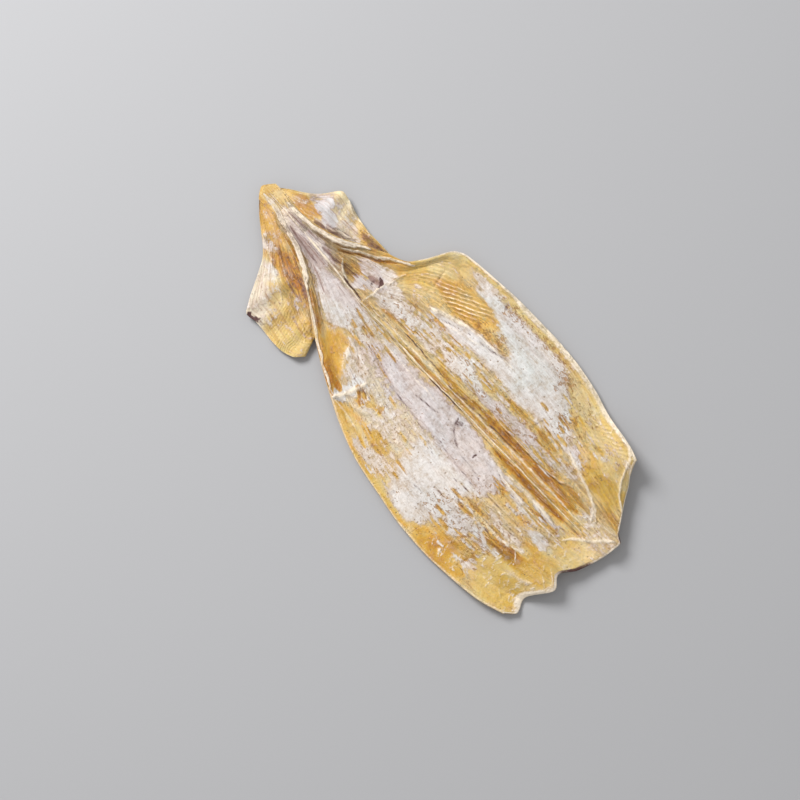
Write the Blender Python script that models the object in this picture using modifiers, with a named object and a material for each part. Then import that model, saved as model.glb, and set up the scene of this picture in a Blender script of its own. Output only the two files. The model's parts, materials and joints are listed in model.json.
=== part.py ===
"""A dried squid: the body slit open and dried flat, inner side up, with its two fins at the tip.

The body is one wavy sheet with raised cut edges, a pen ridge down its middle and a ragged
open end. A fin grows from under each cut edge near the tip. All of it is one solid.

Places on the squid are (down, across, height) in millimetres: down runs from the tip to the
open end, across from the pen, positive to the right when the tip points away, and height up
from the surface that the squid lies on.
"""

import math

import bmesh
import bpy

MM = 0.001

# Where the origin stands: the middle of the outline, at the height of the surface below.
MIDDLE_DOWN = 132.03
MIDDLE_ACROSS = -6.42

BODY_THICKNESS = 2.0
FIN_THICKNESS = 1.3
BODY_ROWS = 54
BODY_COLUMNS = 30
COLUMN_CROWDING = 0.55  # crowds the columns at the pen and at both edges

# The body's outline: (down, across).
LEFT_EDGE = (
    (-4.5, -4.5), (8, -4.5), (20, -8), (34, -11.5), (46, -16.5), (57, -22), (70, -31),
    (94, -45), (126, -60), (140, -64.5), (162, -68.5), (181, -71.5), (201, -72.4),
    (217, -71.5), (235, -69.5), (253, -64), (270, -56),
)
RIGHT_EDGE = (
    (-4.5, 8), (6, 8.2), (20, 6.5), (34, 8.3), (46, 12), (57, 18.5), (70, 25), (80, 29.5),
    (86, 38), (94, 52.5), (101, 56), (126, 58.5), (140, 59.3), (162, 59.2), (181, 58),
    (201, 54.4), (217, 49.5), (235, 45), (243, 42), (270, 30),
)
PEN_LINE = ((-4.5, 1.8), (30, 0), (270, 0))
TIP_ROUNDING = 4.5  # how far the tip's middle stands out past its corners
TIP_BLUNTNESS = 1.4

# The ragged open end: (side, down), where side is -1 at the left edge, 0 at the pen, 1 at the right.
OPEN_END = (
    (-1, 252), (-0.95, 257), (-0.79, 254), (-0.62, 262), (-0.475, 257.5), (-0.35, 263),
    (0, 268.2), (0.19, 268.6), (0.27, 264.5), (0.48, 259), (0.74, 251), (1, 243),
)

# Heights along the body: (down, height).
LIFT = ((-4.5, 4.4), (12, 5.4), (32, 5.2), (70, 3.4), (96, 1.8), (125, 0.8), (270, 0.8))
LOBE_HEIGHT = ((60, 0), (105, 3.2), (160, 6.2), (225, 6.4), (270, 4))
EDGE_RISE = ((-4.5, 0), (3, 0.4), (14, 2.8), (34, 4), (64, 3.4), (95, 2), (130, 1.7), (270, 1.6))
RIGHT_LOBE_SHARE = 0.8
LOBE_LEAN = 0.9  # under 1 moves a lobe's top towards the pen
EDGE_ROLL_FROM = 1.5  # the raised edge runs from here to EDGE_ROLL_TO in from the outline
EDGE_ROLL_TO = 8
GUTTER_SIDE = 0.86
GUTTER_WIDTH = 0.075
GUTTER_DEPTH = 3.4
GUTTER_START = ((85, 0), (115, 1), (270, 1))
SETTLED_BELOW = 0.25  # what comes this close to the surface below lies flat on it
PEN_RISE = ((0, 0), (40, 0.9), (110, 1.4), (270, 1.2))
PEN_WIDTH = 1.9
PEN_GROOVE_ACROSS = 5.5
PEN_GROOVE_DEPTH = 0.8
# Slow waves that the sheet took on as it dried: (height, down and across per radian, start).
WARPS = ((0.7, 23, 31, 0), (0.4, 11, -17, 1))
END_WAVE_HEIGHT = 2.6
END_WAVE_LENGTH = 41
END_WAVE_REACH = 16
CORNER_CURL = 9
CORNER_PLACE = (243, 42)
CORNER_REACH = (17, 14)
POINT_LIFT = 2.6
POINT_PLACE = (268, 3)
POINT_REACH = (15, 13)

# How far in from the body's outline a fin's root lies, and how far below the body's middle.
ROOT_INSET = 7
ROOT_INSET_SHARE = 0.4
ROOT_DROP = 0.9
FIN_FREE_FROM = 5.6  # a fin leaves the body's sheet between these distances from its root
FIN_FREE_TO = 17

# Each fin's outer edge by its share of the way from the tip to its lower end.
LEFT_FIN = {
    "root": ((0, -1), (1, 72)),
    "down": (
        (0, -1), (0.09, 5), (0.27, 20), (0.42, 29.5), (0.5, 36), (0.57, 41.5), (0.64, 47.5),
        (0.82, 65), (0.93, 75), (1, 79.5),
    ),
    "across": (
        (0, -3.4), (0.09, -9), (0.27, -20.5), (0.34, -25), (0.42, -34), (0.5, -45.5),
        (0.57, -52.5), (0.64, -51.6), (0.82, -52.8), (0.93, -50.5), (1, -45.5),
    ),
    "height": ((0, 4.6), (0.24, 4), (0.4, 2.6), (0.55, 3.4), (0.75, 1.4), (0.95, 3), (1, 2.6)),
    "fold": ((0, 0), (0.2, 0.8), (0.45, 2.6), (0.75, 1.4), (1, 0)),
    "fold_place": ((0.27, 0.85), (0.4, 0.62), (0.55, 0.5), (0.7, 0.58), (1, 0.66)),
    "rows": 24,
    "columns": 10,
}
RIGHT_FIN = {
    "root": ((0, 1), (1, 73)),
    "down": ((0, 1.5), (0.1, 7), (0.3, 21.5), (0.38, 28.5), (0.46, 34), (0.65, 48), (1, 74)),
    "across": (
        (0, 7), (0.1, 11), (0.2, 15.5), (0.3, 24), (0.38, 31.8), (0.46, 31), (0.55, 29),
        (0.75, 26.6), (1, 26.3),
    ),
    "height": ((0, 4.6), (0.3, 3.2), (0.39, 4.6), (0.6, 1.6), (0.8, 1.2), (1, 1.2)),
    "fold": ((0, 0), (0.4, -1.2), (0.8, -0.4), (1, 0)),
    "fold_place": ((0, 0.5), (1, 0.5)),
    "rows": 22,
    "columns": 8,
}
FOLD_WIDTH = 0.13
FIN_RIPPLE = 0.45
FIN_RIPPLES = 7
RIPPLE_SLANT = 4

FLESH = {"colour": (0.70, 0.49, 0.22, 1), "roughness": 0.5, "metallic": 0}


def through(stations, place):
    """The height of a smooth curve through the (place, height) stations, with no overshoot."""
    if place <= stations[0][0]:
        return stations[0][1]
    if place >= stations[-1][0]:
        return stations[-1][1]
    after = next(i for i, station in enumerate(stations) if station[0] > place)
    (start, low), (end, high) = stations[after - 1], stations[after]
    span = end - start
    way = (place - start) / span
    leaving = slope_at(stations, after - 1) * span
    arriving = slope_at(stations, after) * span
    rise = high - low
    bend = leaving * (1 - way) ** 2 * way - arriving * (1 - way) * way**2
    return low + rise * way * way * (3 - 2 * way) + bend


def slope_at(stations, index):
    """The curve's slope at a station: none at the ends and at a peak, else between its neighbours'."""
    if index in (0, len(stations) - 1):
        return 0
    before = slope_between(stations[index - 1], stations[index])
    after = slope_between(stations[index], stations[index + 1])
    if before * after <= 0:
        return 0
    return 2 * before * after / (before + after)


def slope_between(first, second):
    return (second[1] - first[1]) / (second[0] - first[0])


def bell(distance, width):
    return math.exp(-0.5 * (distance / width) ** 2)


def smooth_step(start, end, value):
    way = min(max((value - start) / (end - start), 0), 1)
    return way * way * (3 - 2 * way)


def edge_across(down, side):
    """Where the outline lies at this distance down, on the side that this sign names."""
    return through(LEFT_EDGE if side < 0 else RIGHT_EDGE, down)


def body_place(along, side):
    """(down, across) of a point of the body: along 0 to 1 from tip to open end, side -1 to 1."""
    first = -TIP_ROUNDING * (1 - abs(side) ** TIP_BLUNTNESS)
    last = through(OPEN_END, side)
    down = first + along * (last - first)
    pen = through(PEN_LINE, down)
    return down, pen + abs(side) * (edge_across(down, side) - pen)


def side_of(down, across):
    """The side value of a place, past 1 where it lies outside the body."""
    pen = through(PEN_LINE, down)
    direction = -1 if across < pen else 1
    return direction * (across - pen) / (edge_across(down, direction) - pen)


def lobe_height(down, side):
    """Each half of the body stands up in a long low dome between the pen and the edge."""
    dome = math.sin(math.pi * min(abs(side), 1) ** LOBE_LEAN) ** 2
    share = 1 if side < 0 else RIGHT_LOBE_SHARE
    return share * through(LOBE_HEIGHT, down) * dome


def pen_height(down, across):
    """The pen shows as a ridge with a shallow groove along each side."""
    from_pen = abs(across - through(PEN_LINE, down))
    ridge = bell(from_pen, PEN_WIDTH)
    groove = PEN_GROOVE_DEPTH * bell(from_pen - PEN_GROOVE_ACROSS, PEN_WIDTH)
    return through(PEN_RISE, down) * (ridge - groove)


def warp_height(down, across):
    return sum(
        height * math.sin(down / per_down + across / per_across + start)
        for height, per_down, per_across, start in WARPS
    )


def end_height(down, across, side):
    """The open end is wavy, its right corner curls up and the point over the pen lifts a little."""
    from_end = max(through(OPEN_END, side) - down, 0)
    wave = 0.5 + 0.5 * math.sin(2 * math.pi * across / END_WAVE_LENGTH + 1)
    corner = bell(down - CORNER_PLACE[0], CORNER_REACH[0]) * bell(across - CORNER_PLACE[1], CORNER_REACH[1])
    point = bell(down - POINT_PLACE[0], POINT_REACH[0]) * bell(across - POINT_PLACE[1], POINT_REACH[1])
    return (
        END_WAVE_HEIGHT * wave * bell(from_end, END_WAVE_REACH)
        + CORNER_CURL * corner
        + POINT_LIFT * point
    )


def sheet_height(down, across, side):
    """Height of the middle of the body's sheet, without its raised edges."""
    gutter = GUTTER_DEPTH * through(GUTTER_START, down) * bell(abs(side) - GUTTER_SIDE, GUTTER_WIDTH)
    height = (
        BODY_THICKNESS / 2
        + through(LIFT, down)
        + lobe_height(down, side)
        + pen_height(down, across)
        + warp_height(down, across)
        + end_height(down, across, side)
        - gutter
    )
    return max(height, BODY_THICKNESS / 2)


def edge_height(down, across, side):
    """The cut edges stand up, most of all beside the trough near the tip."""
    edge = edge_across(down, side)
    roll_to = min(EDGE_ROLL_TO, abs(edge - through(PEN_LINE, down)))
    rolled = smooth_step(roll_to, EDGE_ROLL_FROM, abs(edge - across))
    return through(EDGE_RISE, down) * rolled


def body_point(along, share):
    side = share - COLUMN_CROWDING * math.sin(2 * math.pi * share) / (2 * math.pi)
    down, across = body_place(along, side)
    return down, across, sheet_height(down, across, side) + edge_height(down, across, side)


def root_place(fin, direction, share):
    """(down, across) of the fin's root, inside the body's outline."""
    down = through(fin["root"], share)
    edge = edge_across(down, direction)
    inset = min(ROOT_INSET, ROOT_INSET_SHARE * abs(edge - through(PEN_LINE, down)))
    return down, edge - direction * inset


def fin_point(fin, direction, share, out):
    """A point of a fin: share 0 to 1 down its root, out 0 to 1 from the root to the outer edge."""
    root_down, root_across = root_place(fin, direction, share)
    edge_down = through(fin["down"], share)
    edge_out = through(fin["across"], share)
    down = root_down + out * (edge_down - root_down)
    across = root_across + out * (edge_out - root_across)
    side = min(max(side_of(down, across), -1), 1)
    under_edge = edge_height(root_down, root_across, direction)
    attached = sheet_height(down, across, side) + under_edge - ROOT_DROP
    from_root = math.hypot(down - root_down, across - root_across)
    free = smooth_step(FIN_FREE_FROM, FIN_FREE_TO, from_root)
    fold = through(fin["fold"], share) * bell(out - through(fin["fold_place"], share), FOLD_WIDTH)
    ripple = FIN_RIPPLE * math.sin(2 * math.pi * FIN_RIPPLES * share + RIPPLE_SLANT * out)
    loose = through(fin["height"], share) + fold + ripple
    height = attached + free * (loose - attached)
    return down, across, max(height, FIN_THICKNESS / 2)


def sheet_object(name, rows, columns, thickness, point_at):
    """A grid laid through point_at(along, share), along 0 to 1 and share -1 to 1, made solid."""
    mesh = bmesh.new()
    bmesh.ops.create_grid(mesh, x_segments=columns, y_segments=rows, size=1)
    for vertex in mesh.verts:
        down, across, height = point_at((1 - vertex.co.y) / 2, vertex.co.x)
        vertex.co = (
            (across - MIDDLE_ACROSS) * MM,
            (MIDDLE_DOWN - down) * MM,
            height * MM,
        )
    data = bpy.data.meshes.new(name)
    mesh.to_mesh(data)
    mesh.free()
    sheet = bpy.data.objects.new(name, data)
    solid = sheet.modifiers.new("thickness", "SOLIDIFY")
    solid.thickness = thickness * MM
    solid.offset = 0
    return sheet


def fin_object(name, fin, direction):
    def point_at(along, share):
        return fin_point(fin, direction, along, (1 + direction * share) / 2)

    return sheet_object(name, fin["rows"], fin["columns"], FIN_THICKNESS, point_at)


def apply_modifiers(thing):
    """Bakes the modifiers of an object into its mesh."""
    bpy.context.view_layer.update()
    graph = bpy.context.evaluated_depsgraph_get()
    made = bpy.data.meshes.new_from_object(thing.evaluated_get(graph))
    thing.modifiers.clear()
    thing.data = made


def join_fins(body, fins):
    """Unites the fins with the body in one cut, and takes their objects away."""
    joining = body.modifiers.new("fins", "BOOLEAN")
    joining.operation = "UNION"
    joining.operand_type = "COLLECTION"
    joining.collection = fins
    joining.solver = "EXACT"
    apply_modifiers(body)
    for fin in list(fins.objects):
        bpy.data.objects.remove(fin)
    bpy.data.collections.remove(fins)


def settle(body):
    """Flattens the underside where it rests."""
    for vertex in body.data.vertices:
        if vertex.co.z < SETTLED_BELOW * MM:
            vertex.co.z = 0


def flesh_material():
    material = bpy.data.materials.new("dried_flesh")
    material.use_nodes = True
    shader = material.node_tree.nodes["Principled BSDF"]
    shader.inputs["Base Color"].default_value = FLESH["colour"]
    shader.inputs["Roughness"].default_value = FLESH["roughness"]
    shader.inputs["Metallic"].default_value = FLESH["metallic"]
    return material


def new_collection(name):
    collection = bpy.data.collections.new(name)
    bpy.context.scene.collection.children.link(collection)
    return collection


def build():
    for thing in list(bpy.data.objects):
        bpy.data.objects.remove(thing)
    squid = new_collection("dried_squid")
    fins = new_collection("fins_to_join")
    body = sheet_object("dried_squid", BODY_ROWS, BODY_COLUMNS, BODY_THICKNESS, body_point)
    squid.objects.link(body)
    fins.objects.link(fin_object("left_fin", LEFT_FIN, -1))
    fins.objects.link(fin_object("right_fin", RIGHT_FIN, 1))
    join_fins(body, fins)
    settle(body)
    body.data.materials.clear()
    body.data.materials.append(flesh_material())
    body.data.shade_smooth()


build()
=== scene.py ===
import json
import math

import bpy
import numpy as np
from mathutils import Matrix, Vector

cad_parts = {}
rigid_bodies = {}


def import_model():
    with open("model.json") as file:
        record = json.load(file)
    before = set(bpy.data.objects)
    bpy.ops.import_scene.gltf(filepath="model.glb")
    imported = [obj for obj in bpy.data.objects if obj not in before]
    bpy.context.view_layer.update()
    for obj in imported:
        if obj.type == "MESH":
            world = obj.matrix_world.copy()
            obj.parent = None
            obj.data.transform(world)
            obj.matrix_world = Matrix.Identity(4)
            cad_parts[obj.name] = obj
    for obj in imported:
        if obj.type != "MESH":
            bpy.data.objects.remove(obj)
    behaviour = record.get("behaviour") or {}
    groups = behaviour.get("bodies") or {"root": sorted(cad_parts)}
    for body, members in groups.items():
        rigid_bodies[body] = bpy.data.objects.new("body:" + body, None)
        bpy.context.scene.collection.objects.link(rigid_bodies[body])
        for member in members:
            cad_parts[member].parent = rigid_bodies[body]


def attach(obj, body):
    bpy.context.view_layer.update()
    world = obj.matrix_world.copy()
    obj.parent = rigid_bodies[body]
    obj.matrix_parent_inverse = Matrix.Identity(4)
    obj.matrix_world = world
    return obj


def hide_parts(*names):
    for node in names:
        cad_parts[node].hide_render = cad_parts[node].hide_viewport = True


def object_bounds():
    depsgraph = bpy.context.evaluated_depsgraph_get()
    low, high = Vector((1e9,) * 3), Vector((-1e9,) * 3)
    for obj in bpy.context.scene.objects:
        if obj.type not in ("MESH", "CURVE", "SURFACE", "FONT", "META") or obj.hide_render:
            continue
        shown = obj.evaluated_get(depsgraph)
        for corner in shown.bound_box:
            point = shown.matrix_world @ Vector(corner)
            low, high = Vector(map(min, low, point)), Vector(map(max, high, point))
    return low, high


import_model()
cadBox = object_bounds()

# Places on the squid are (down, across) in millimetres, as in the part's own source: down runs
# from the tip to the open end, across from the pen, positive to the right with the tip away.
mm = 0.001
middleDown = 132.03
middleAcross = -6.42
widestHalf = 60  # half the body where it is widest, the measure across its fibres
thinnest = 0.35  # what the relief leaves of a sheet
patchBorder = (1.3, 0.7)  # radius shares between which a patch fades in
strokes = {
    "tip": 0.45,  # share of the width at both ends
    "tipShare": 0.2,  # share of the length that each end takes up
    "spread": 0.42,
    "flatBorder": 0.3,
}


def toRow(down, across, height):
    return ((across - middleAcross) * mm, (middleDown - down) * mm, height * mm)


def through(stations, place):
    # a smooth curve through (place, height) stations that never overshoots them
    places, heights = np.array(stations, float).T
    spans = np.diff(places)
    slopes = np.diff(heights) / spans
    before, after = slopes[:-1], slopes[1:]
    sameWay = before * after > 0
    inner = np.where(sameWay, 2 * before * after / np.where(sameWay, before + after, 1), 0)
    tangents = np.concatenate(([0], inner, [0]))
    place = np.clip(place, places[0], places[-1])
    index = np.clip(np.searchsorted(places, place, side="right") - 1, 0, len(spans) - 1)
    span = spans[index]
    way = (place - places[index]) / span
    rise = heights[index + 1] - heights[index]
    bend = tangents[index] * (1 - way) ** 2 * way - tangents[index + 1] * (1 - way) * way**2
    return heights[index] + rise * way * way * (3 - 2 * way) + span * bend


def bell(distance, width):
    return np.exp(-0.5 * (distance / width) ** 2)


def smoothStep(start, end, value):
    way = np.clip((value - start) / (end - start), 0, 1)
    return way * way * (3 - 2 * way)


def noise(u, v, seed):
    # smooth random values from -1 to 1, one to each whole u and v
    size = 128
    grid = np.random.default_rng(seed).uniform(-1, 1, (size, size))
    column, row = np.floor(u).astype(int), np.floor(v).astype(int)
    wayU = smoothStep(0, 1, u - column)
    wayV = smoothStep(0, 1, v - row)
    left, right = column % size, (column + 1) % size
    low, high = row % size, (row + 1) % size
    bottom = grid[left, low] * (1 - wayU) + grid[right, low] * wayU
    top = grid[left, high] * (1 - wayU) + grid[right, high] * wayU
    return bottom * (1 - wayV) + top * wayV


def fractal(u, v, seed, octaves=3):
    total = sum(noise(u * 2**k, v * 2**k, seed + k) / 2**k for k in range(octaves))
    return total / sum(1 / 2**k for k in range(octaves))


def patchMask(down, across, place, reach, turn=0):
    # 1 inside an oval, fading to 0 round it; turn is in degrees, towards the right as it goes down
    angle = math.radians(turn)
    offDown, offAcross = down - place[0], across - place[1]
    along = offDown * math.cos(angle) + offAcross * math.sin(angle)
    beside = offAcross * math.cos(angle) - offDown * math.sin(angle)
    radius = np.hypot(along / reach[0], beside / reach[1])
    return smoothStep(*patchBorder, radius)


def patchMasks(place, patches):
    # mask and level of each patch in a list
    for patchDown, patchAcross, halfLength, halfWidth, level, *turn in patches:
        yield patchMask(*place, (patchDown, patchAcross), (halfLength, halfWidth), *turn), level


def nearestOn(down, across, start, end):
    # the nearest place on a straight line: its share of the way along, and how far off it is
    runDown, runAcross = end[0] - start[0], end[1] - start[1]
    way = ((down - start[0]) * runDown + (across - start[1]) * runAcross) / (runDown**2 + runAcross**2)
    way = np.clip(way, 0, 1)
    return way, np.hypot(down - start[0] - way * runDown, across - start[1] - way * runAcross)


def areaMask(down, across, outline, soft):
    # 1 inside a closed outline, fading to 0 across its border
    points = np.array(outline, float)
    inside = np.zeros(down.shape, bool)
    away = np.full_like(down, 1e3)
    for start, end in zip(points, np.roll(points, -1, axis=0)):
        away = np.minimum(away, nearestOn(down, across, start, end)[1])
        run = end - start
        if run[1]:
            crossing = (start[1] > across) != (end[1] > across)
            inside ^= crossing & (down < start[0] + (across - start[1]) * run[0] / run[1])
    return smoothStep(-soft, soft, np.where(inside, away, -away))


def strokeMask(down, across, points, width, flat=False):
    # 1 on a line through the points, fading to 0 at its width, thinner towards its ends; a flat
    # line keeps its full height over its width
    points = np.array(points, float)
    lengths = np.hypot(*np.diff(points, axis=0).T)
    mask = np.zeros_like(down)
    gone = 0
    for start, end, length in zip(points[:-1], points[1:], lengths):
        way, away = nearestOn(down, across, start, end)
        share = (gone + way * length) / lengths.sum()
        ends = smoothStep(0, strokes["tipShare"], share) * smoothStep(0, strokes["tipShare"], 1 - share)
        taper = strokes["tip"] + (1 - strokes["tip"]) * ends
        if flat:
            border = strokes["flatBorder"]
            profile = smoothStep(0.5 * width + border, 0.5 * width - border, away / taper)
        else:
            profile = bell(away, strokes["spread"] * width * taper)
        mask = np.maximum(mask, profile)
        gone += length
    return mask


def paint(values, mask, level):
    return values + (level - values) * np.clip(mask, 0, 1)


def paintPatches(values, place, patches):
    for mask, level in patchMasks(place, patches):
        values = paint(values, mask, level)
    return values


def raisePatches(values, place, patches):
    for mask, level in patchMasks(place, patches):
        values = np.maximum(values, level * mask)
    return values


def waves(across, down, settings):
    height, wide, long, seed, *octaves = settings
    return height * fractal(across / wide, down / long, seed, *octaves)


body = {
    "rows": 414,
    "columns": 220,
    "crowding": 0.45,  # crowds the columns at the pen and at both edges
    "thickness": 2.0,
    "rimThickness": 0.5,  # share of the thickness left at the rim
    "rimWidth": 2.2,
    "tipRun": 300,  # how long the way down counts as, for the tip's rim
    "leftEdge": (
        (-4.5, -4.5), (8, -4.5), (20, -8), (34, -11.5), (46, -16.5), (57, -22), (70, -31),
        (94, -45), (126, -60), (140, -64.5), (162, -68.5), (181, -71.5), (201, -72.4),
        (217, -71.5), (235, -69.5), (253, -64), (270, -56),
    ),
    "rightEdge": (
        (-4.5, 8), (6, 8.2), (20, 6.5), (34, 8.3), (46, 12), (57, 18.5), (70, 25), (80, 29.5),
        (86, 38), (94, 52.5), (101, 56), (126, 58.5), (140, 59.3), (162, 59.2), (181, 58),
        (201, 54.4), (217, 49.5), (235, 45), (243, 42), (270, 30),
    ),
    "penLine": ((-4.5, 1.8), (30, 0), (270, 0)),
    "tipRounding": 4.5,
    "tipBluntness": 1.4,
    "openEnd": (  # (side, down)
        (-1, 252), (-0.95, 257), (-0.79, 254), (-0.62, 262), (-0.475, 257.5), (-0.35, 263),
        (0, 268.2), (0.19, 268.6), (0.27, 264.5), (0.48, 259), (0.74, 251), (1, 243),
    ),
    "lift": ((-4.5, 4.4), (12, 5.4), (32, 5.2), (70, 3.4), (96, 1.8), (125, 0.8), (270, 0.8)),
    "lobeHeight": ((60, 0), (105, 3.2), (160, 6.2), (225, 6.4), (270, 4)),
    "edgeRise": ((-4.5, 0), (3, 0.4), (14, 2.8), (34, 4), (64, 3.4), (95, 2), (130, 1.7), (270, 1.6)),
    "rightLobeShare": 0.8,
    "lobeLean": 0.9,
    "rollFrom": 1.5,
    "rollTo": 8,
    "gutterSide": 0.86,
    "gutterWidth": 0.075,
    "gutterDepth": 3.4,
    "gutterStart": ((85, 0), (115, 1), (270, 1)),
    "settledBelow": 0.25,
    "penRise": ((0, 0), (40, 0.9), (110, 1.4), (270, 1.2)),
    "penWidth": 1.9,
    "penGrooveAcross": 5.5,
    "penGrooveDepth": 0.8,
    "warps": ((0.7, 23, 31, 0), (0.4, 11, -17, 1)),
    "endWaveHeight": 2.6,
    "endWaveLength": 41,
    "endWaveReach": 16,
    "cornerCurl": 9,
    "cornerPlace": (243, 42),
    "cornerReach": (17, 14),
    "pointLift": 2.6,
    "pointPlace": (268, 3),
    "pointReach": (15, 13),
}


def edgeAcross(down, side):
    return np.where(side < 0, through(body["leftEdge"], down), through(body["rightEdge"], down))


def fromEdge(down, across, side):
    return np.abs(edgeAcross(down, side) - across)


def bodyPlace(along, side):
    first = -body["tipRounding"] * (1 - np.abs(side) ** body["tipBluntness"])
    last = through(body["openEnd"], side)
    down = first + along * (last - first)
    pen = through(body["penLine"], down)
    return down, pen + np.abs(side) * (edgeAcross(down, side) - pen)


def sideOf(down, across):
    pen = through(body["penLine"], down)
    direction = np.where(across < pen, -1, 1)
    return direction * (across - pen) / (edgeAcross(down, direction) - pen)


def penHeight(down, across):
    fromPen = np.abs(across - through(body["penLine"], down))
    ridge = bell(fromPen, body["penWidth"])
    groove = body["penGrooveDepth"] * bell(fromPen - body["penGrooveAcross"], body["penWidth"])
    return through(body["penRise"], down) * (ridge - groove)


def endHeight(down, across, side):
    fromEnd = np.maximum(through(body["openEnd"], side) - down, 0)
    wave = 0.5 + 0.5 * np.sin(2 * np.pi * across / body["endWaveLength"] + 1)
    height = body["endWaveHeight"] * wave * bell(fromEnd, body["endWaveReach"])
    for lift, place, reach in (
        (body["cornerCurl"], body["cornerPlace"], body["cornerReach"]),
        (body["pointLift"], body["pointPlace"], body["pointReach"]),
    ):
        height = height + lift * bell(down - place[0], reach[0]) * bell(across - place[1], reach[1])
    return height


def sheetHeight(down, across, side):
    dome = np.sin(np.pi * np.minimum(np.abs(side), 1) ** body["lobeLean"]) ** 2
    lobe = np.where(side < 0, 1, body["rightLobeShare"]) * through(body["lobeHeight"], down) * dome
    warp = sum(
        height * np.sin(down / perDown + across / perAcross + start)
        for height, perDown, perAcross, start in body["warps"]
    )
    gutter = body["gutterDepth"] * through(body["gutterStart"], down)
    gutter = gutter * bell(np.abs(side) - body["gutterSide"], body["gutterWidth"])
    height = body["thickness"] / 2 + through(body["lift"], down) + lobe + penHeight(down, across)
    height = height + warp + endHeight(down, across, side) - gutter
    return np.maximum(height, body["thickness"] / 2)


def edgeHeight(down, across, side):
    rollTo = np.minimum(body["rollTo"], fromEdge(down, through(body["penLine"], down), side))
    rolled = smoothStep(0, 1, (rollTo - fromEdge(down, across, side)) / (rollTo - body["rollFrom"]))
    return through(body["edgeRise"], down) * rolled


fins = {
    "thickness": 1.3,
    "rimThickness": 0.55,
    "rimWidth": 1.6,
    "rimLight": 0.6,
    "rimFrom": 0.985,  # share of the way out
    "outRun": 30,  # how long the ways out and down count as, for the rim
    "endRun": 70,
    "fibreWidth": 42,
    "rootInset": 7,
    "rootInsetShare": 0.4,
    "rootDrop": 0.9,
    "freeFrom": 5.6,
    "freeTo": 17,
    "foldWidth": 0.13,
    "ripple": 0.45,
    "ripples": 7,
    "rippleSlant": 4,
    "left": {
        "direction": -1,
        "rows": 170,
        "columns": 100,
        "root": ((0, -1), (1, 72)),
        "down": (
            (0, -1), (0.09, 5), (0.27, 20), (0.42, 29.5), (0.5, 36), (0.57, 41.5), (0.64, 47.5),
            (0.82, 65), (0.93, 75), (1, 79.5),
        ),
        "across": (
            (0, -3.4), (0.09, -9), (0.27, -20.5), (0.34, -25), (0.42, -34), (0.5, -45.5),
            (0.57, -52.5), (0.64, -51.6), (0.82, -52.8), (0.93, -50.5), (1, -45.5),
        ),
        "height": ((0, 4.6), (0.24, 4), (0.4, 2.6), (0.55, 3.4), (0.75, 1.4), (0.95, 3), (1, 2.6)),
        "fold": ((0, 0), (0.2, 0.8), (0.45, 2.6), (0.75, 1.4), (1, 0)),
        "foldPlace": ((0.27, 0.85), (0.4, 0.62), (0.55, 0.5), (0.7, 0.58), (1, 0.66)),
    },
    "right": {
        "direction": 1,
        "rows": 160,
        "columns": 76,
        "root": ((0, 1), (1, 73)),
        "down": ((0, 1.5), (0.1, 7), (0.3, 21.5), (0.38, 28.5), (0.46, 34), (0.65, 48), (1, 74)),
        "across": (
            (0, 7), (0.1, 11), (0.2, 15.5), (0.3, 24), (0.38, 31.8), (0.46, 31), (0.55, 29),
            (0.75, 26.6), (1, 26.3),
        ),
        "height": ((0, 4.6), (0.3, 3.2), (0.39, 4.6), (0.6, 1.6), (0.8, 1.2), (1, 1.2)),
        "fold": ((0, 0), (0.4, -1.2), (0.8, -0.4), (1, 0)),
        "foldPlace": ((0, 0.5), (1, 0.5)),
    },
}


def finPlace(fin, share, out):
    # (down, across, height) of the middle of a fin's sheet
    direction = fin["direction"]
    rootDown = through(fin["root"], share)
    edge = edgeAcross(rootDown, direction)
    penGap = np.abs(edge - through(body["penLine"], rootDown))
    rootAcross = edge - direction * np.minimum(fins["rootInset"], fins["rootInsetShare"] * penGap)
    down = rootDown + out * (through(fin["down"], share) - rootDown)
    across = rootAcross + out * (through(fin["across"], share) - rootAcross)
    side = np.clip(sideOf(down, across), -1, 1)
    underEdge = edgeHeight(rootDown, rootAcross, direction)
    attached = sheetHeight(down, across, side) + underEdge - fins["rootDrop"]
    fromRoot = np.hypot(down - rootDown, across - rootAcross)
    free = smoothStep(fins["freeFrom"], fins["freeTo"], fromRoot)
    fold = through(fin["fold"], share) * bell(out - through(fin["foldPlace"], share), fins["foldWidth"])
    ripple = np.sin(2 * np.pi * fins["ripples"] * share + fins["rippleSlant"] * out)
    loose = through(fin["height"], share) + fold + fins["ripple"] * ripple
    height = attached + free * (loose - attached)
    return down, across, np.maximum(height, fins["thickness"] / 2)


def newGrid(name, rows, columns):
    # a flat grid, and for each of its points the way down (0 to 1) and across (-1 to 1)
    bpy.ops.object.select_all(action="DESELECT")
    bpy.ops.mesh.primitive_grid_add(x_subdivisions=columns, y_subdivisions=rows, size=2)
    sheet = bpy.context.object
    sheet.name = name
    sheet.data.name = name
    points = np.empty(len(sheet.data.vertices) * 3)
    sheet.data.vertices.foreach_get("co", points)
    points = points.reshape(-1, 3)
    return sheet, (1 - points[:, 1]) / 2, points[:, 0]


def rimWeight(piece, fromRim):
    # share of the thickness that is left near a piece's rim
    return piece["rimThickness"] + (1 - piece["rimThickness"]) * smoothStep(0, piece["rimWidth"], fromRim)


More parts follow.
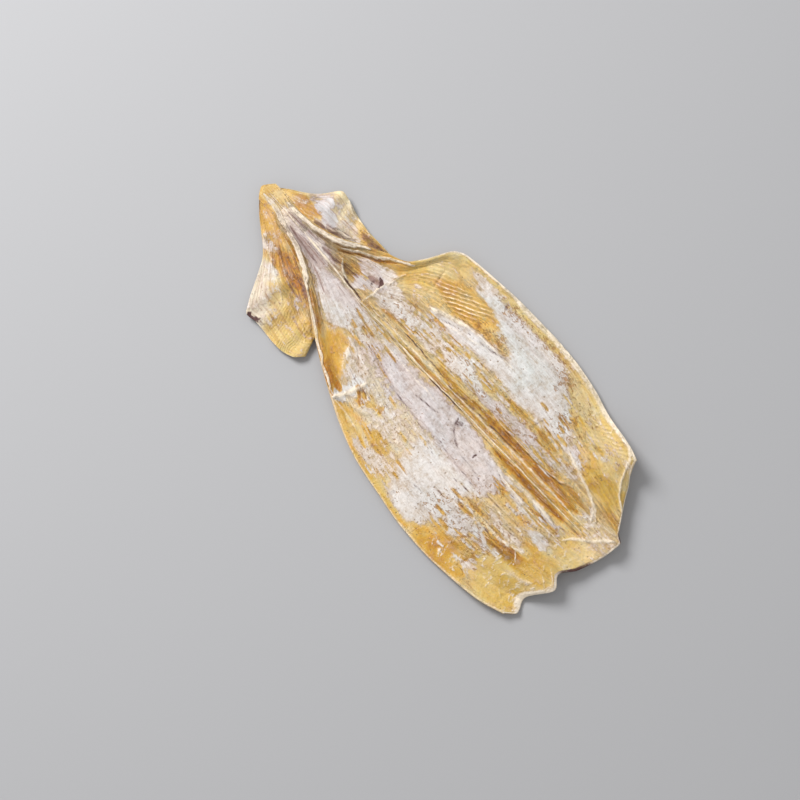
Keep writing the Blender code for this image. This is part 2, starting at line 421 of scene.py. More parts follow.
def thicken(sheet, points, thickness, share, materials):
    # gives the laid grid its thickness, thinner where share is under 1, and returns its points:
    # the first half of them are the inner face's. The second material is the outer face's and
    # the third the rim's, so all three are there before the modifier
    for material in materials:
        sheet.data.materials.append(material)
    sheet.data.vertices.foreach_set("co", np.column_stack(points).ravel())
    sheet.data.update()
    group = sheet.vertex_groups.new(name="thickness")
    for index, weight in enumerate(share):
        group.add([index], float(weight), "REPLACE")
    solid = sheet.modifiers.new("thickness", "SOLIDIFY")
    solid.thickness = thickness * mm
    solid.offset = 0
    solid.vertex_group = "thickness"
    solid.material_offset = 1
    solid.material_offset_rim = 2
    bpy.context.view_layer.objects.active = sheet
    bpy.ops.object.modifier_apply(modifier="thickness")
    sheet.vertex_groups.clear()
    solidPoints = np.empty(len(sheet.data.vertices) * 3)
    sheet.data.vertices.foreach_get("co", solidPoints)
    return solidPoints.reshape(-1, 3)


def thinUnderside(sheet):
    # the outer face has no fine relief, so it needs fewer faces
    bpy.ops.object.mode_set(mode="EDIT")
    bpy.ops.mesh.select_mode(type="FACE")
    bpy.ops.mesh.select_all(action="DESELECT")
    bpy.ops.object.mode_set(mode="OBJECT")
    under = [face.material_index == 1 for face in sheet.data.polygons]
    sheet.data.polygons.foreach_set("select", under)
    bpy.ops.object.mode_set(mode="EDIT")
    bpy.ops.mesh.unsubdivide(iterations=4)
    bpy.ops.object.mode_set(mode="OBJECT")


def finishSheet(sheet, points, relief, tones):
    # lowers and raises the inner face by relief, keeps all of it in the solid's box, and stores
    # what the materials read
    half = len(points) // 2
    points[:half, 2] += relief * mm
    under = points[half:, 2]
    under[under < body["settledBelow"] * mm] = 0
    points[:half, 2] = np.maximum(points[:half, 2], under + thinnest * mm)
    low, high = np.array(cadBox[0]), np.array(cadBox[1])
    points[:] = np.clip(points, low, high)
    sheet.data.vertices.foreach_set("co", points.ravel())
    for name, values in tones.items():
        if values.ndim == 2:
            stored = sheet.data.attributes.new(name, "FLOAT_VECTOR", "POINT")
            stored.data.foreach_set("vector", np.vstack((values, values)).ravel())
        else:
            stored = sheet.data.attributes.new(name, "FLOAT", "POINT")
            stored.data.foreach_set("value", np.concatenate((values, values)))
    sheet.data.update()
    bpy.ops.object.select_all(action="DESELECT")
    sheet.select_set(True)
    bpy.context.view_layer.objects.active = sheet
    thinUnderside(sheet)
    bpy.ops.object.shade_smooth()
    sheet.select_set(False)
    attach(sheet, "root")
    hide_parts("dried_squid")


# Fine creases: how many, the ranges of their places down and across the flow, of their lengths and
# of their widths, and how much they drift
bodyCreases = (
    (420, (84, 266), (-58, 58), (6, 34), (0.22, 0.6), 0.03),  # the lobes
    (170, (4, 92), (-56, 56), (6, 30), (0.2, 0.45), 0.02),  # the trough
)

# broken places in the bloom, where short brown and white streaks lie side by side
bodyBreaks = (
    (150, (96, 218), (4, 21), (3, 11), (0.4, 1.1), 0.02),  # beside the pen
    (46, (84, 112), (-26, -7), (3, 9), (0.4, 0.9), 0.05),  # the left shoulder
    (60, (184, 226), (-52, -27), (3, 9), (0.5, 1.1), 0.03),  # low on the left
    (34, (196, 246), (-21, -12), (5, 14), (0.4, 0.8), 0.01),  # low in the middle
    (44, (186, 226), (18, 44), (3, 9), (0.5, 1.1), 0.06),  # low on the right
    (50, (116, 160), (-58, -26), (3, 8), (0.4, 0.9), 0.03),  # the left side
)

# Soft random waves: height, size across, size down, seed, and how many sizes are added up. The
# streaks are waves whose size across is measured where the body is widest
bodyStreaks = {
    "wander": (7, 4, 16, 11),
    "bloom": (0.06, 3, 30, 16),
    "wide": (0.3, 4.2, 30, 21),
    "fine": (0.18, 1.5, 12, 23),
}
bodyWaves = {
    "wanderDown": (1.5, 2.5, 3, 12),
    "wanderAcross": (2.4, 9, 11, 13),
    "nearDown": (0.8, 3, 3, 14),
    "nearAcross": (0.5, 4, 6, 15),
    "roughDown": (1.4, 2, 2, 17, 2),
    "roughAcross": (1.4, 2, 2, 18, 2),
    "swells": (0.2, 5, 7, 22),
    "ragged": (0.16, 2, 3.5, 19),
    "patchy": (0.35, 2, 6, 20),
    "ribPhase": (0.4, 7, 7, 31),
    "ribShare": (0.5, 4, 4, 32),
}

# How the marks shape and colour the flesh, and act on one another
bodyBlend = {
    "deepAmber": (0.42, 0.74),  # between these the bloom goes
    "bloomLost": 0.8,
    "breakBorder": (0.25, 0.75),
    "breakBloom": 0.75,
    "breakAmber": 0.66,
    "breakCrumbs": 0.5,
    "thickBloom": (0.45, 0.9),  # between these the streaks get shallow
    "bloomCalm": 0.7,
    "glassyCalm": 0.75,
    "crowded": (20, 85),  # the streaks crowd above the first, and have room below the second
    "crowdedRoom": 0.3,
    "creaseRise": 0.4,
    "sideLine": 0.9,  # a band's width without the lines along its sides
    "sideLight": 0.95,
    "bandLight": 0.85,
    "bandBloom": 0.9,
    "bandHollow": 0.2,
    "haloWidth": 1.2,
    "haloDepth": 0.25,
    "haloDark": 0.22,
    "plumLost": 0.8,
    "ridgeClears": 0.7,
    "wrinkleRise": 0.2,
    "wrinkleLight": 0.85,
    "wrinkleBloom": 0.66,
    "spotDepth": 0.3,
    "ribEvenness": 0.75,
}

# a pale rolled band down the right edge, a thin pale line down the left, a pale margin at the open
# end, and skin that shows there in two places
bodyRims = {
    "bandFrom": 84,
    "bandWidth": ((-4.5, 0), (84, 0.3), (100, 0.8), (130, 1.1), (145, 2.8), (205, 2.6), (243, 1.4)),
    "bandBorder": 0.6,
    "bandRise": 0.3,
    "bandLight": 0.65,
    "bandBloom": 0.8,
    "lineReach": (1.3, 0.5),  # from the edge
    "grooveFrom": 98,
    "grooveOff": 1.2,  # from the band
    "grooveWidth": 0.7,
    "grooveDepth": 0.3,
    "grooveAmber": 0.46,
    "grooveOlive": 0.9,
    "bareGroove": 0.6,
    "granularDown": (118, 134),
    "granularReach": (8, 5),
    "granularBloom": 0.48,
    "granularOlive": 0.8,
    "leftFrom": 100,
    "leftOff": 0.3,
    "leftWidth": 0.55,
    "leftLight": 0.55,
    # strips along the open end: level, where they fade out from the end, side, reach
    "margins": ((1, 5.4, 2.8, -0.77, 0.13), (1, 2.4, 0.8, -0.5, 0.2), (0.8, 1.4, 0.4, 0, np.inf)),
    "marginBloom": 0.9,
    "skins": ((1, 2.6, 1.3, -0.35, 0.11), (1, 1.0, 0.2, 0.24, 0.05)),
    "skinDark": 0.9,
}

bodyMarks = {
    # flat pale bands with a brighter line along each side: width, rise, paleness, places
    "bands": (
        (2.4, 0.6, 0.7, (0, -0.5), (5, -0.8), (9, -1.4), (14, -2.7), (20, -4.9), (25, -6.1)),
        (2.2, 0.9, 0.8, (20, -4.9), (25, -6.1), (30, -7.6), (36, -9.4), (41, -11.5), (46, -14.2),
         (51, -17.4), (55, -20)),
        (1.3, 0.7, 0.45, (52, -18), (62, -24.4), (70, -29.8), (80, -36.2), (90, -42), (105, -49)),
        (2.0, 0.9, 0.8, (13, 5.2), (20, 5), (28, 5.5), (35, 6.6), (40, 7.7), (45, 9.4), (50, 12),
         (56, 16.4), (62, 19.6)),
        (1.2, 0.6, 0.55, (50, 9.8), (58, 14.4), (64, 17.8), (70, 21.6), (76, 25.6), (84, 31)),
        (1.0, 0.5, 0.7, (2, 2.2), (10, 2), (20, 1.6), (30, 0.7), (40, -0.2), (55, -0.9), (64, -1.6),
         (72, -2.6), (80, -3.2)),
    ),
    # pale raised lines: width, rise, paleness, places
    "ridges": (
        (1.1, 0.6, 0.9, (78, -3.1), (95, -3.1), (112, -3.8), (130, -4.4), (160, -4.4), (205, -4.6),
         (250, -4.4)),
        (0.7, 0.3, 0.5, (124, -2.6), (150, -2.9), (200, -2.9), (246, -2.9)),
        (0.9, 0.5, 0.7, (84, -1), (110, -0.9), (160, -1), (205, -0.8), (250, -1.3)),
        (0.9, 0.4, 0.6, (176, 5), (196, 5), (210, 4.6)),
        (0.8, 0.3, 0.45, (96, 3.4), (118, 3.2), (134, 4.2)),
        (2.8, 0.9, 0.8, (106, -50), (108, -46), (110.6, -41), (112.6, -36), (114, -31)),
        (2.6, 0.5, 0.6, (99, -36), (96, -31), (92, -24)),
        (1.8, 0.8, 0.5, (106, -49), (115, -45.5), (126, -43)),
        (1.2, 0.5, 0.6, (106, -50), (116, -51), (128, -53)),
        (1.1, 0.6, 0.9, (209, -38.3), (216, -38.7), (222, -39), (229, -37.6), (234, -36), (239, -34.6)),
        (0.9, 0.5, 0.7, (239, -34.6), (233, -33.4), (224, -31.4), (215, -30), (208, -28.6)),
        (0.6, 0.3, 0.5, (214, -36.4), (222, -35.6), (230, -35)),
        (0.6, 0.3, 0.5, (213, -34), (222, -33.4), (232, -34)),
        (1.0, 0.4, 0.8, (198, -14.8), (210, -16), (220, -17), (230, -17.6), (246, -16.6)),
        (0.7, 0.3, 0.6, (205, -19.4), (218, -19.6), (232, -19)),
        (0.7, 0.3, 0.5, (200, -27), (212, -26.8), (226, -26.6)),
        (2.0, 0.5, 0.75, (202, -11.6), (215, -11), (226, -11.6), (236, -13)),
        (2.0, 0.8, 0.85, (246, -15), (250, -10), (255, -6), (260, -1), (266, 4)),
        (0.8, 0.4, 0.6, (252, -30), (257, -34), (261, -37)),
        (0.8, 0.4, 0.6, (250, -26), (255, -25.4), (258, -26)),
        (2.4, 0.4, 0.5, (237, -49), (241, -46.6), (246, -45.6), (251, -42.4)),
        (2.4, 0.9, 0.8, (107, 21.5), (115, 24.2), (124, 27), (130, 28.6)),
        (1.0, 0.5, 0.7, (128, 28.4), (140, 29.6), (165, 30)),
        (1.2, 0.5, 0.5, (118, 20.5), (130, 23.5), (146, 27)),
        (1.3, 0.4, 0.6, (208, 3.5), (220, 6), (230, 9.5)),
        (1.8, 0.6, 0.75, (214, 20.5), (235, 14), (247, 9), (252, 4)),
        (1.4, 0.5, 0.7, (250, 2), (246, 8), (240, 13)),
        (1.0, 0.4, 0.6, (251, 5), (257, 6), (264, 7)),
        (1.3, 0.8, 0.8, (226, 46.6), (236, 43.8), (241, 40), (243, 34), (244.5, 29.5), (249.5, 23),
         (255, 19), (261, 16)),
        (1.0, 0.5, 0.6, (82.5, 13), (83, 17), (85, 25)),
        (1.1, 0.7, 0.95, (55, 6), (58, 2.6), (61, 0.8), (66, -0.6)),
        (1.4, 0.6, 0.95, (79.4, -1.4), (80.4, 4), (80.4, 13)),
        (1.0, 0.4, 0.5, (63, 13), (72, 17.5), (80, 21)),
        (1.1, 0.4, 0.5, (88, -9), (120, -11), (150, -12)),
        (0.9, 0.4, 0.55, (204, -62), (205.5, -67)),
        (0.9, 0.3, 0.5, (241, -56), (245, -60)),
        (1.0, 0.4, 0.6, (258, -40), (252, -36)),
    ),
    # dark lines: width, depth, darkness, places
    "cracksAndShadeLines": (
        (0.7, 0.4, 0.55, (36, -1.5), (48, -2.1), (57, -2.4)),
        (0.9, 0.5, 0.85, (63, -0.4), (70, -1.3), (79, -1.9)),
        (1.6, 0.5, 0.45, (24, -3.4), (32, -4.4), (40, -5), (47, -5.8)),
        (0.6, 0.3, 0.5, (30, -6), (40, -9), (50, -13.5), (60, -20)),
        (0.6, 0.3, 0.4, (17, 2.9), (24, 2.6), (32, 2), (42, 1.6)),
        (0.6, 0.3, 0.5, (18, 3.4), (28, 3.8), (36, 4.9), (45, 7.4), (52, 10.6)),
        (1.8, 0.6, 0.45, (44, 1.4), (50, 2.1), (55, 2.8), (59, 3.6)),
        (1.2, 0.5, 0.3, (50, 8.2), (58, 12.8), (64, 16.4), (70, 20.2), (77, 25)),
        (2.2, 0.5, 0.35, (58, 4), (62, 4.4), (67, 4.6)),
        (0.8, 0.4, 0.6, (84, -4.4), (96, -4.6), (116, -5.2), (136, -5.3)),
        (1.0, 0.4, 0.9, (134, -5.3), (150, -5.2), (162, -5.3)),
        (0.9, 0.3, 0.6, (163, -6), (175, -6.8), (200, -8.6)),
        (0.6, 0.2, 0.5, (100, -2.4), (130, -3.6), (160, -3.6), (200, -3.7), (244, -3.7)),
        (0.8, 0.4, 0.7, (104, 1.6), (114, 1.9), (126, 1.2), (140, 0.6)),
        (0.8, 0.4, 0.6, (140, -0.6), (160, -0.2), (180, 0.2), (200, 0.2)),
        (0.8, 0.4, 0.6, (178, 3.6), (196, 3.8), (214, 4.4), (226, 6)),
        (0.9, 0.2, 0.82, (135, -17.8), (141, -16.6), (148, -16.2), (152, -15)),
        (0.8, 0.3, 0.5, (131, -26), (136, -25.4), (141, -24.6)),
        (0.8, 0.3, 0.5, (90, -20), (97, -23), (104, -28.6)),
        (0.8, 0.3, 0.6, (99, -17), (104, -17.6), (110, -19)),
        (0.8, 0.2, 0.45, (150, -26.5), (157, -25.5), (163, -25.5)),
        (1.6, 0.3, 0.6, (161, -9.5), (163, -14), (165, -17), (169, -19.5), (173, -21.5)),
        (0.9, 0.2, 0.6, (175, -23), (185, -23.5), (192, -25)),
        (0.9, 0.3, 0.62, (118, -23), (128, -24.5), (140, -25), (150, -27), (158, -28)),
        (0.8, 0.3, 0.6, (152, -27), (160, -31), (168, -33.6)),
        (0.8, 0.3, 0.6, (160, -24.6), (172, -27), (184, -28.4), (196, -29.6)),
        (0.7, 0.3, 0.55, (96, -31), (106, -34), (118, -36.4), (128, -37)),
        (0.7, 0.3, 0.5, (112, -28), (124, -31.6), (138, -34), (150, -37)),
        (0.8, 0.3, 0.55, (188, -38), (194, -40.6), (198, -41.4)),
        (0.7, 0.3, 0.5, (150, -46), (158, -49), (164, -50)),
        (0.9, 0.2, 0.6, (182, -34), (198, -32.5)),
        (0.8, 0.2, 0.62, (170, -50.5), (178, -51)),
        (0.8, 0.2, 0.62, (178, -44.5), (186, -44)),
        (1.3, 0.6, 0.7, (138, 26.6), (145, 28), (152, 29.6), (159, 30.6)),
        (0.9, 0.4, 0.6, (112, 19.6), (118, 21.8), (126, 24.6), (135, 27)),
        (0.9, 0.4, 0.55, (120, 27.8), (128, 30), (137, 31.4)),
        (0.7, 0.3, 0.5, (104, -16), (110, -18.4), (118, -21.2), (127, -23.4)),
        (1.0, 0.2, 0.5, (192, 15), (193, 21.5)),
        (1.0, 0.2, 0.4, (195, 38), (200, 30), (208, 24)),
        (0.9, 0.4, 0.4, (100, 31), (99, 37), (98, 42)),
        (1.3, 0.2, 0.45, (246, -3), (249, -1)),
        (0.8, 0.3, 0.4, (150, -0.8), (156, 0.4), (163, 0.2)),
        (0.8, 0.3, 0.45, (222, 5.5), (231, 9)),
        (0.8, 0.3, 0.4, (84, 14), (86, 20), (85.5, 27)),
        (0.7, 0.3, 0.35, (99.5, 26), (100, 32), (98.5, 42)),
        (0.8, 0.3, 0.35, (246, -66), (245, -58), (247, -51)),
        (0.7, 0.3, 0.5, (200, -27.8), (212, -27.6), (224, -27.4)),
        (0.7, 0.3, 0.6, (194, -14), (204, -17.6), (214, -18.6), (226, -18.6)),
        (0.7, 0.3, 0.5, (202, -13.6), (214, -13.2), (226, -14), (238, -15)),
        (0.6, 0.3, 0.5, (216, -32.6), (226, -32.4), (235, -33.6)),
        (0.7, 0.3, 0.5, (208, -40.4), (215, -40.6), (222, -41.4)),
        (0.9, 0.3, 0.4, (188, -67), (188.6, -63), (192, -60.4), (197, -58)),
    ),
    # where short pale wrinkles lie across the flow: how many, their places down and across
    "wrinkled": (
        (17, (196, 218), (-70, -58)),
        (30, (224, 254), (-66, -42)),
        (12, (244, 262), (-36, -14)),
        (10, (196, 240), (38, 46)),
        (12, (112, 150), (-50, -34)),
    ),
    # The lists of patches hold down, across, half length, half width and level, and some a turn
    # in degrees. Dark spots:
    "spots": (
        (2, 1, 10, 9, 0.36), (12, -9, 14, 5, 0.2), (79, 11.4, 1.2, 2.2, 1), (77.5, 12.4, 1.4, 1.2, 0.9),
        (75.4, 9.6, 1.4, 1.6, 0.6), (181.5, -17.5, 1, 1, 0.8), (164, -11.5, 2, 1.6, 0.6),
        (135, 52.5, 2, 2.6, 0.35), (165, -63, 2, 3, 0.3), (62, 3, 3.6, 2, 0.5), (51, 2, 5, 1.6, 0.45),
        (213, -44, 1.2, 1.2, 0.35), (219, -37, 0.9, 1.2, 0.35), (217, -41, 1.6, 0.7, 0.35),
        (114, -37, 1.8, 1.8, 0.5), (166, -62, 1.6, 2, 0.35), (238.5, -22.6, 1.6, 1.6, 0.3),
        (261, -25, 1.6, 3, 0.6), (136, 52, 1.4, 1.6, 0.5), (143, -23.4, 0.9, 0.9, 0.4),
        (169, 32, 1.4, 1.4, 0.3), (246, -3, 1.2, 1.4, 0.4),
    ),
    # how amber the flesh is, 0 pale to 1 deep: the base, patches, and lines with width, level and
    # places
    "amberBase": 0.42,
    "amberPatches": (
        (128, -36, 30, 17, 0.18), (108, -26, 22, 14, 0.26), (140, 12, 44, 9, 0.36), (30, 0, 30, 7, 0.2),
        (60, -3, 16, 8, 0.2), (224, -24, 20, 16, 0.4), (89, -32, 11, 11, 0.63), (97, -44, 8, 3, 0.77),
        (119, -54, 12, 6, 0.56), (119, -50, 8, 3, 0.44), (116, -39, 2.8, 3.2, 0.84),
        (123.6, -37.8, 5, 3, 0.6), (140, -48.6, 9, 4.6, 0.58), (205, -66, 18, 9, 0.68),
        (212, -58, 9, 9, 0.65), (208, -64, 6, 6, 0.68), (218, -54, 5, 5, 0.58), (225, -60, 3, 8, 0.4),
        (240, -56, 15, 14, 0.53), (246, -54, 8, 8, 0.58), (230, -41.4, 12, 4.4, 0.78),
        (244, -40, 8, 5.5, 0.72), (250, -34, 9, 9, 0.6), (219, -24, 11, 4.4, 0.5), (226, -23, 6, 4, 0.56),
        (238, -30, 6, 3, 0.6), (252, -17, 9, 8, 0.52), (258, -22, 5, 12, 0.46), (218, -14.6, 24, 1, 0.6),
        (224, 4, 18, 5, 0.68), (209, 33, 8, 4, 0.68), (222, 36, 25, 9, 0.46), (95, 40, 13, 20, 0.44),
        (114, 35, 13, 8, 0.62), (82, 27, 12, 6, 0.58), (124, 37, 16, 8, 0.62), (143, 34, 9, 4, 0.56),
        (-1, 1, 7, 9, 0.6), (8, 3, 7, 7, 0.42), (7, -7, 13, 5, 0.6), (150, 0.6, 14, 2.0, 0.72),
        (259, 0, 10, 10, 0.34), (62, 5, 7, 4, 0.62), (112, 9, 12, 3, 0.46), (128, 11, 9, 3.6, 0.5),
        (104, -12, 6, 4, 0.46), (90, 30, 8, 6, 0.54), (158, 14.4, 9, 2.6, 0.54), (203, 16.5, 9, 2, 0.64),
        (232, 3, 8, 5, 0.66), (176, 16, 8, 2, 0.56), (240, 20, 16, 6, 0.62), (136, 53, 3, 3.4, 0.56),
        (246, -4, 6, 5, 0.5), (245, 3, 5, 6, 0.42),
    ),
    "amberLines": (
        (4.4, 0.62, (110, -54), (126, -60), (140, -64), (155, -67), (170, -69), (184, -69.5)),
        (3.0, 0.64, (124, -60), (140, -64.6), (155, -67.6), (172, -69.4)),
        (5.2, 0.86, (186, -7.4), (196, -7.8), (206, -7.8), (220, -7.6), (238, -7.4)),
        (4.2, 0.82, (160, 2.4), (175, 2.2), (200, 2), (222, 1.8), (240, 1)),
        (3.0, 0.78, (90, -40), (97, -44.5), (105, -49.5)),
        (4.0, 0.56, (109, -50.6), (118, -49), (129, -47)),
        (3.4, 0.58, (113, 11), (122, 11.5), (130, 12)),
        (3.0, 0.58, (150, 14), (160, 14.5), (166, 15)),
        (2.6, 0.62, (170, 16), (180, 15.8), (188, 15)),
        (5.0, 0.62, (224, 28), (240, 20), (252, 13), (263, 9)),
        (2.2, 0.7, (105, -3), (140, -2.6), (200, -2.4), (246, -2.8)),
        (3.0, 0.75, (20, -9.5), (30, -10.5), (40, -13)),
        (1.6, 0.6, (70, -27), (84, -20), (100, -19)),
        (1.8, 0.6, (108, -20), (122, -22.5)),
        (2.0, 0.6, (186, -49.5), (192, -51), (199, -53.6)),
        (1.6, 0.58, (182, -44), (192, -42.4), (204, -41)),
        (1.6, 0.56, (184, -34), (200, -32)),
        (2.0, 0.7, (90, 2), (104, 4), (118, 3)),
        (2.4, 0.6, (60, 18.6), (66, 22), (76, 27)),
        (2.4, 0.74, (56, -19), (64, -23.6), (76, -31.4)),
        (1.6, 0.8, (50, 8.2), (58, 12.8), (64, 16.4), (70, 20.2), (77, 25)),
    ),
    # how far the amber leans to olive yellow
    "oliveBase": 0.2,
    "olivePatches": (
        (30, 0, 26, 6, 0.1), (92, 42, 13, 20, 0.8), (222, 38, 26, 10, 0.7), (245, 22, 18, 10, 0.8),
        (238, -56, 20, 16, 0.85), (88, -32, 12, 11, 0.45), (0, 2, 10, 9, 0.5), (96, 20, 10, 6, 0.6),
        (118, -54, 14, 6, 0.5), (100, -13, 9, 5, 0.5), (150, -66, 40, 5, 0.75), (246, -38, 10, 10, 0.6),
        (200, -68, 14, 4, 0.5), (165, 15, 26, 4, 0.75), (140, 12, 44, 8, 0.6), (200, 12, 16, 8, 0.5),
        (150, 0.4, 30, 4, 0.6), (205, -7, 24, 3, 0.3), (250, 4, 14, 10, 0.4), (126, 40, 12, 8, 0.3),
        (105, -3, 30, 2.4, 0.6), (250, -20, 12, 14, 0.7), (214, -63, 16, 10, 0.5), (112, 34, 12, 8, 0.25),
        (120, 11, 14, 4, 0.5), (7, -8, 14, 5, 0.45), (140, -49, 9, 6, 0.6), (124, -39, 8, 5, 0.5),
        (210, 44, 30, 8, 0.8),
    ),
    # white bloom: the base, and areas with amount, softness of the border and outline
    "bloomBase": 0.28,
    "bloomAreas": (
        (1.0, 4.0, (106, 53), (112, 55), (122, 56.5), (132, 57), (140, 56), (150, 55), (165, 54),
         (176, 53), (183, 51), (190, 46), (196, 39), (203, 31), (210, 26), (216, 24), (224, 24),
         (230, 18), (226, 15), (215, 18), (206, 19), (196, 20), (186, 20), (176, 19), (156, 19.5),
         (136, 19), (126, 18), (113, 18.5), (108, 20.5), (110, 23.5), (118, 26), (126, 28), (134, 30),
         (142, 31), (150, 31.5), (156, 32.5), (150, 34.5), (143, 38), (136, 40), (128, 41.5), (120, 44),
         (112, 47.5)),
        (0.95, 4.0, (98, -6), (120, -6.5), (160, -7.5), (188, -10.5), (206, -12), (228, -13), (246, -13),
         (244, -16), (230, -15), (214, -14), (206, -16), (204, -22), (207, -27), (204, -30), (180, -29),
         (150, -28), (126, -25), (110, -20)),
        (1.0, 5.5, (150, -28), (153, -44), (156, -54), (158, -62), (166, -67), (180, -69.5), (187, -66),
         (190, -62), (197, -58), (203, -56.5), (209, -51), (222, -50), (226, -45), (222, -41), (206, -40),
         (197, -41), (195, -37), (199, -33), (206, -32), (203, -27), (180, -26)),
        (0.58, 7.0, (100, -18), (100, -44), (108, -47), (116, -44), (124, -46), (128, -54), (134, -61),
         (150, -64), (160, -63), (160, -40), (156, -24), (130, -20)),
        (0.95, 3.5, (50, -12), (56, -17), (64, -21), (72, -24), (80, -24), (88, -21), (90, -6), (80, -4),
         (66, -2.5), (54, -2), (46, -5)),
        (0.8, 3.0, (62, 9), (66, 16), (74, 20), (82, 22), (92, 17), (104, 15), (112, 11), (106, 6),
         (94, 3), (84, 1), (78, 2), (70, 3)),
        (0.64, 4.0, (84, -6), (96, -5.5), (112, -6), (124, -20), (108, -40), (98, -40), (92, -28),
         (84, -24)),
        (0.86, 3.0, (100, 4), (126, 5), (160, 6), (184, 5.5), (206, 6), (212, 11), (196, 14), (176, 13.5),
         (160, 11), (150, 18), (134, 18), (120, 18), (108, 16)),
        (0.42, 4.0, (206, -12), (208, -38), (238, -36), (246, -24), (246, -10), (230, -11)),
        (0.44, 3.0, (186, 52), (200, 48), (216, 42), (232, 38), (240, 36), (236, 30), (216, 34),
         (200, 38), (188, 46)),
    ),
    # and patches of it
    "bloom": (
        (238, -24.6, 5.2, 4.6, 0.8), (228, -12.4, 12, 2.2, 0.8), (242, -13, 6, 3, 0.6),
        (222.6, -58, 2, 9, 0.8), (226, -61, 2.6, 4, 0.6), (244, -46.4, 8, 2.2, 0.75, 20),
        (230, -45, 6, 2, 0.5), (72, 3, 5, 4.4, 1.0), (66, 13, 9, 4, 0.66), (248, 5, 4, 5, 0.6),
        (22, 0, 14, 5, 0.75), (9, 0.4, 7, 2.6, 0.55), (38, -2, 16, 7, 0.85), (50, -8, 8, 4, 0.8),
        (259, 1, 11, 8, 0.48), (106, -45, 3.6, 7, 1.0), (110, -37, 3, 8, 0.9, 10),
        (96, -29, 3, 6, 0.8, -50), (88, -12, 12, 9, 0.6), (118, 13, 14, 6, 0.5), (95, 22, 10, 6, 0.35),
        (226, -34.6, 12, 3, 0.62), (220, -15.6, 26, 1.4, 0.7), (108, -58, 10, 3, 0.45),
        (217, 12, 14, 2.5, 0.62), (220, -35, 14, 4, 0.6), (98, 46, 6, 8, 0.35), (230, 34, 8, 6, 0.5),
        (142, -58, 12, 4, 0.75), (214, 8, 8, 3, 0.6), (122, 22, 14, 3, 0.8, 14), (212, -62, 5, 8, 0.42),
        (222, 20, 8, 4, 0.85, -10),
    ),
    # where purple brown streaks show
    "plum": (
        (38, -4, 17, 3.6, 0.62), (52, 3, 10, 4, 0.6), (28, 1.6, 10, 3, 0.5), (58, -8, 12, 4, 0.4),
        (88, -10, 10, 8, 0.25), (160, -12, 20, 8, 0.3), (150, -22, 20, 5, 0.35), (180, -24, 18, 6, 0.3),
        (215, 9, 14, 4, 0.4), (185, 10, 20, 6, 0.35), (100, -10, 16, 6, 0.3), (150, 1, 14, 2, 0.5),
        (232, -41, 10, 3, 0.35), (208, -10, 10, 3, 0.25), (170, 18, 20, 3, 0.3),
    ),
    # and lines of them: width, amount, places
    "plumLines": (
        (3.0, 0.9, (23, -3.2), (31, -4.4), (38, -5), (45, -5.8)), (1.8, 0.8, (28, -2.2), (38, -2.6),
         (50, -3.4)),
        (2.8, 0.9, (43, 1.8), (50, 2.3), (56, 3.2)), (1.6, 0.75, (17, 2.6), (26, 3), (36, 3.2), (44, 3.4)),
        (1.4, 0.75, (30, 4.6), (38, 6), (46, 8.6), (54, 13)), (1.6, 0.7, (46, -8), (54, -11), (62, -14)),
        (5.2, 0.85, (56, 3.4), (62, 4.4), (68, 4.6)), (3.6, 1.0, (72, 9.6), (76, 10.2), (79, 10.8)),
        (1.6, 0.7, (62, -5.6), (72, -8)), (1.2, 0.6, (50, 6), (58, 10), (66, 13)),
    ),
    # where brown crumbs lie thick
    "crumbsBase": 0.12,
    "crumbs": (
        (125, -36, 28, 14, 0.4), (104, -22, 18, 14, 0.4), (118, 13, 22, 9, 0.45), (160, 12, 34, 9, 0.5),
        (200, 10, 26, 9, 0.55), (212, -30, 22, 18, 0.5), (206, -46, 14, 12, 0.6), (190, -52, 10, 16, 0.5),
        (222, -55, 6, 14, 0.6), (205, 34, 14, 14, 0.6), (190, 44, 12, 8, 0.6), (152, 53, 34, 3.4, 0.65),
        (183, 47, 7, 5, 0.75), (138, 52, 6, 5, 0.8), (140, 34, 16, 5, 0.7), (162, 0, 40, 4, 0.4),
        (150, -25, 36, 4, 0.3), (235, -16, 16, 8, 0.5), (250, 2, 10, 12, 0.4), (90, -10, 16, 12, 0.5),
        (96, 8, 14, 8, 0.5), (140, -57, 14, 7, 0.4), (166, -62, 6, 8, 0.5), (60, 10, 20, 12, 0.4),
        (228, 20, 16, 8, 0.5), (232, 38, 16, 10, 0.4),
    ),
    # where the flesh is smooth and glassy, with hardly a fibre
    "glassy": (
        (2, 1, 10, 10, 1), (88, -32, 13, 12, 0.9), (122, -54, 20, 9, 0.9), (160, -66, 34, 6, 1),
        (140, -42, 30, 14, 0.6), (205, -65, 20, 9, 1), (240, -56, 18, 14, 1), (248, -36, 12, 12, 0.8),
        (219, -24, 13, 5, 0.7), (256, -18, 10, 12, 0.9), (262, 0, 8, 10, 0.4), (95, 42, 16, 18, 0.7),
        (120, 38, 24, 9, 0.5), (82, 27, 12, 8, 0.6), (215, 42, 30, 10, 0.8), (240, 26, 18, 14, 0.8),
        (150, 54, 50, 4, 0.5), (97, -44, 8, 4, 0.8),
    ),
    # where the bloom is thin and looks lilac grey
    "lilac": (
        (150, -17, 50, 12, 0.9), (58, -7, 20, 8, 0.85), (70, 8, 12, 8, 0.8), (185, -22, 22, 9, 0.8),
        (186, 9, 26, 6, 0.6), (150, 48, 20, 10, 0.35), (75, -12, 12, 8, 0.3), (240, -14, 14, 5, 0.6),
        (130, 22, 20, 6, 0.3), (222, 24, 12, 5, 0.6), (110, -40, 10, 14, 0.3), (50, -4, 12, 5, 0.8),
        (34, -1, 22, 7, 0.9), (236, -23, 6, 6, 0.3), (206, -46, 14, 6, 0.3),
    ),
    "amberWave": (0.09, 8, 12, 33),
    "pocket": ((69, 6, 11, 5.5, 0.7, 8),),  # sunk under its membrane
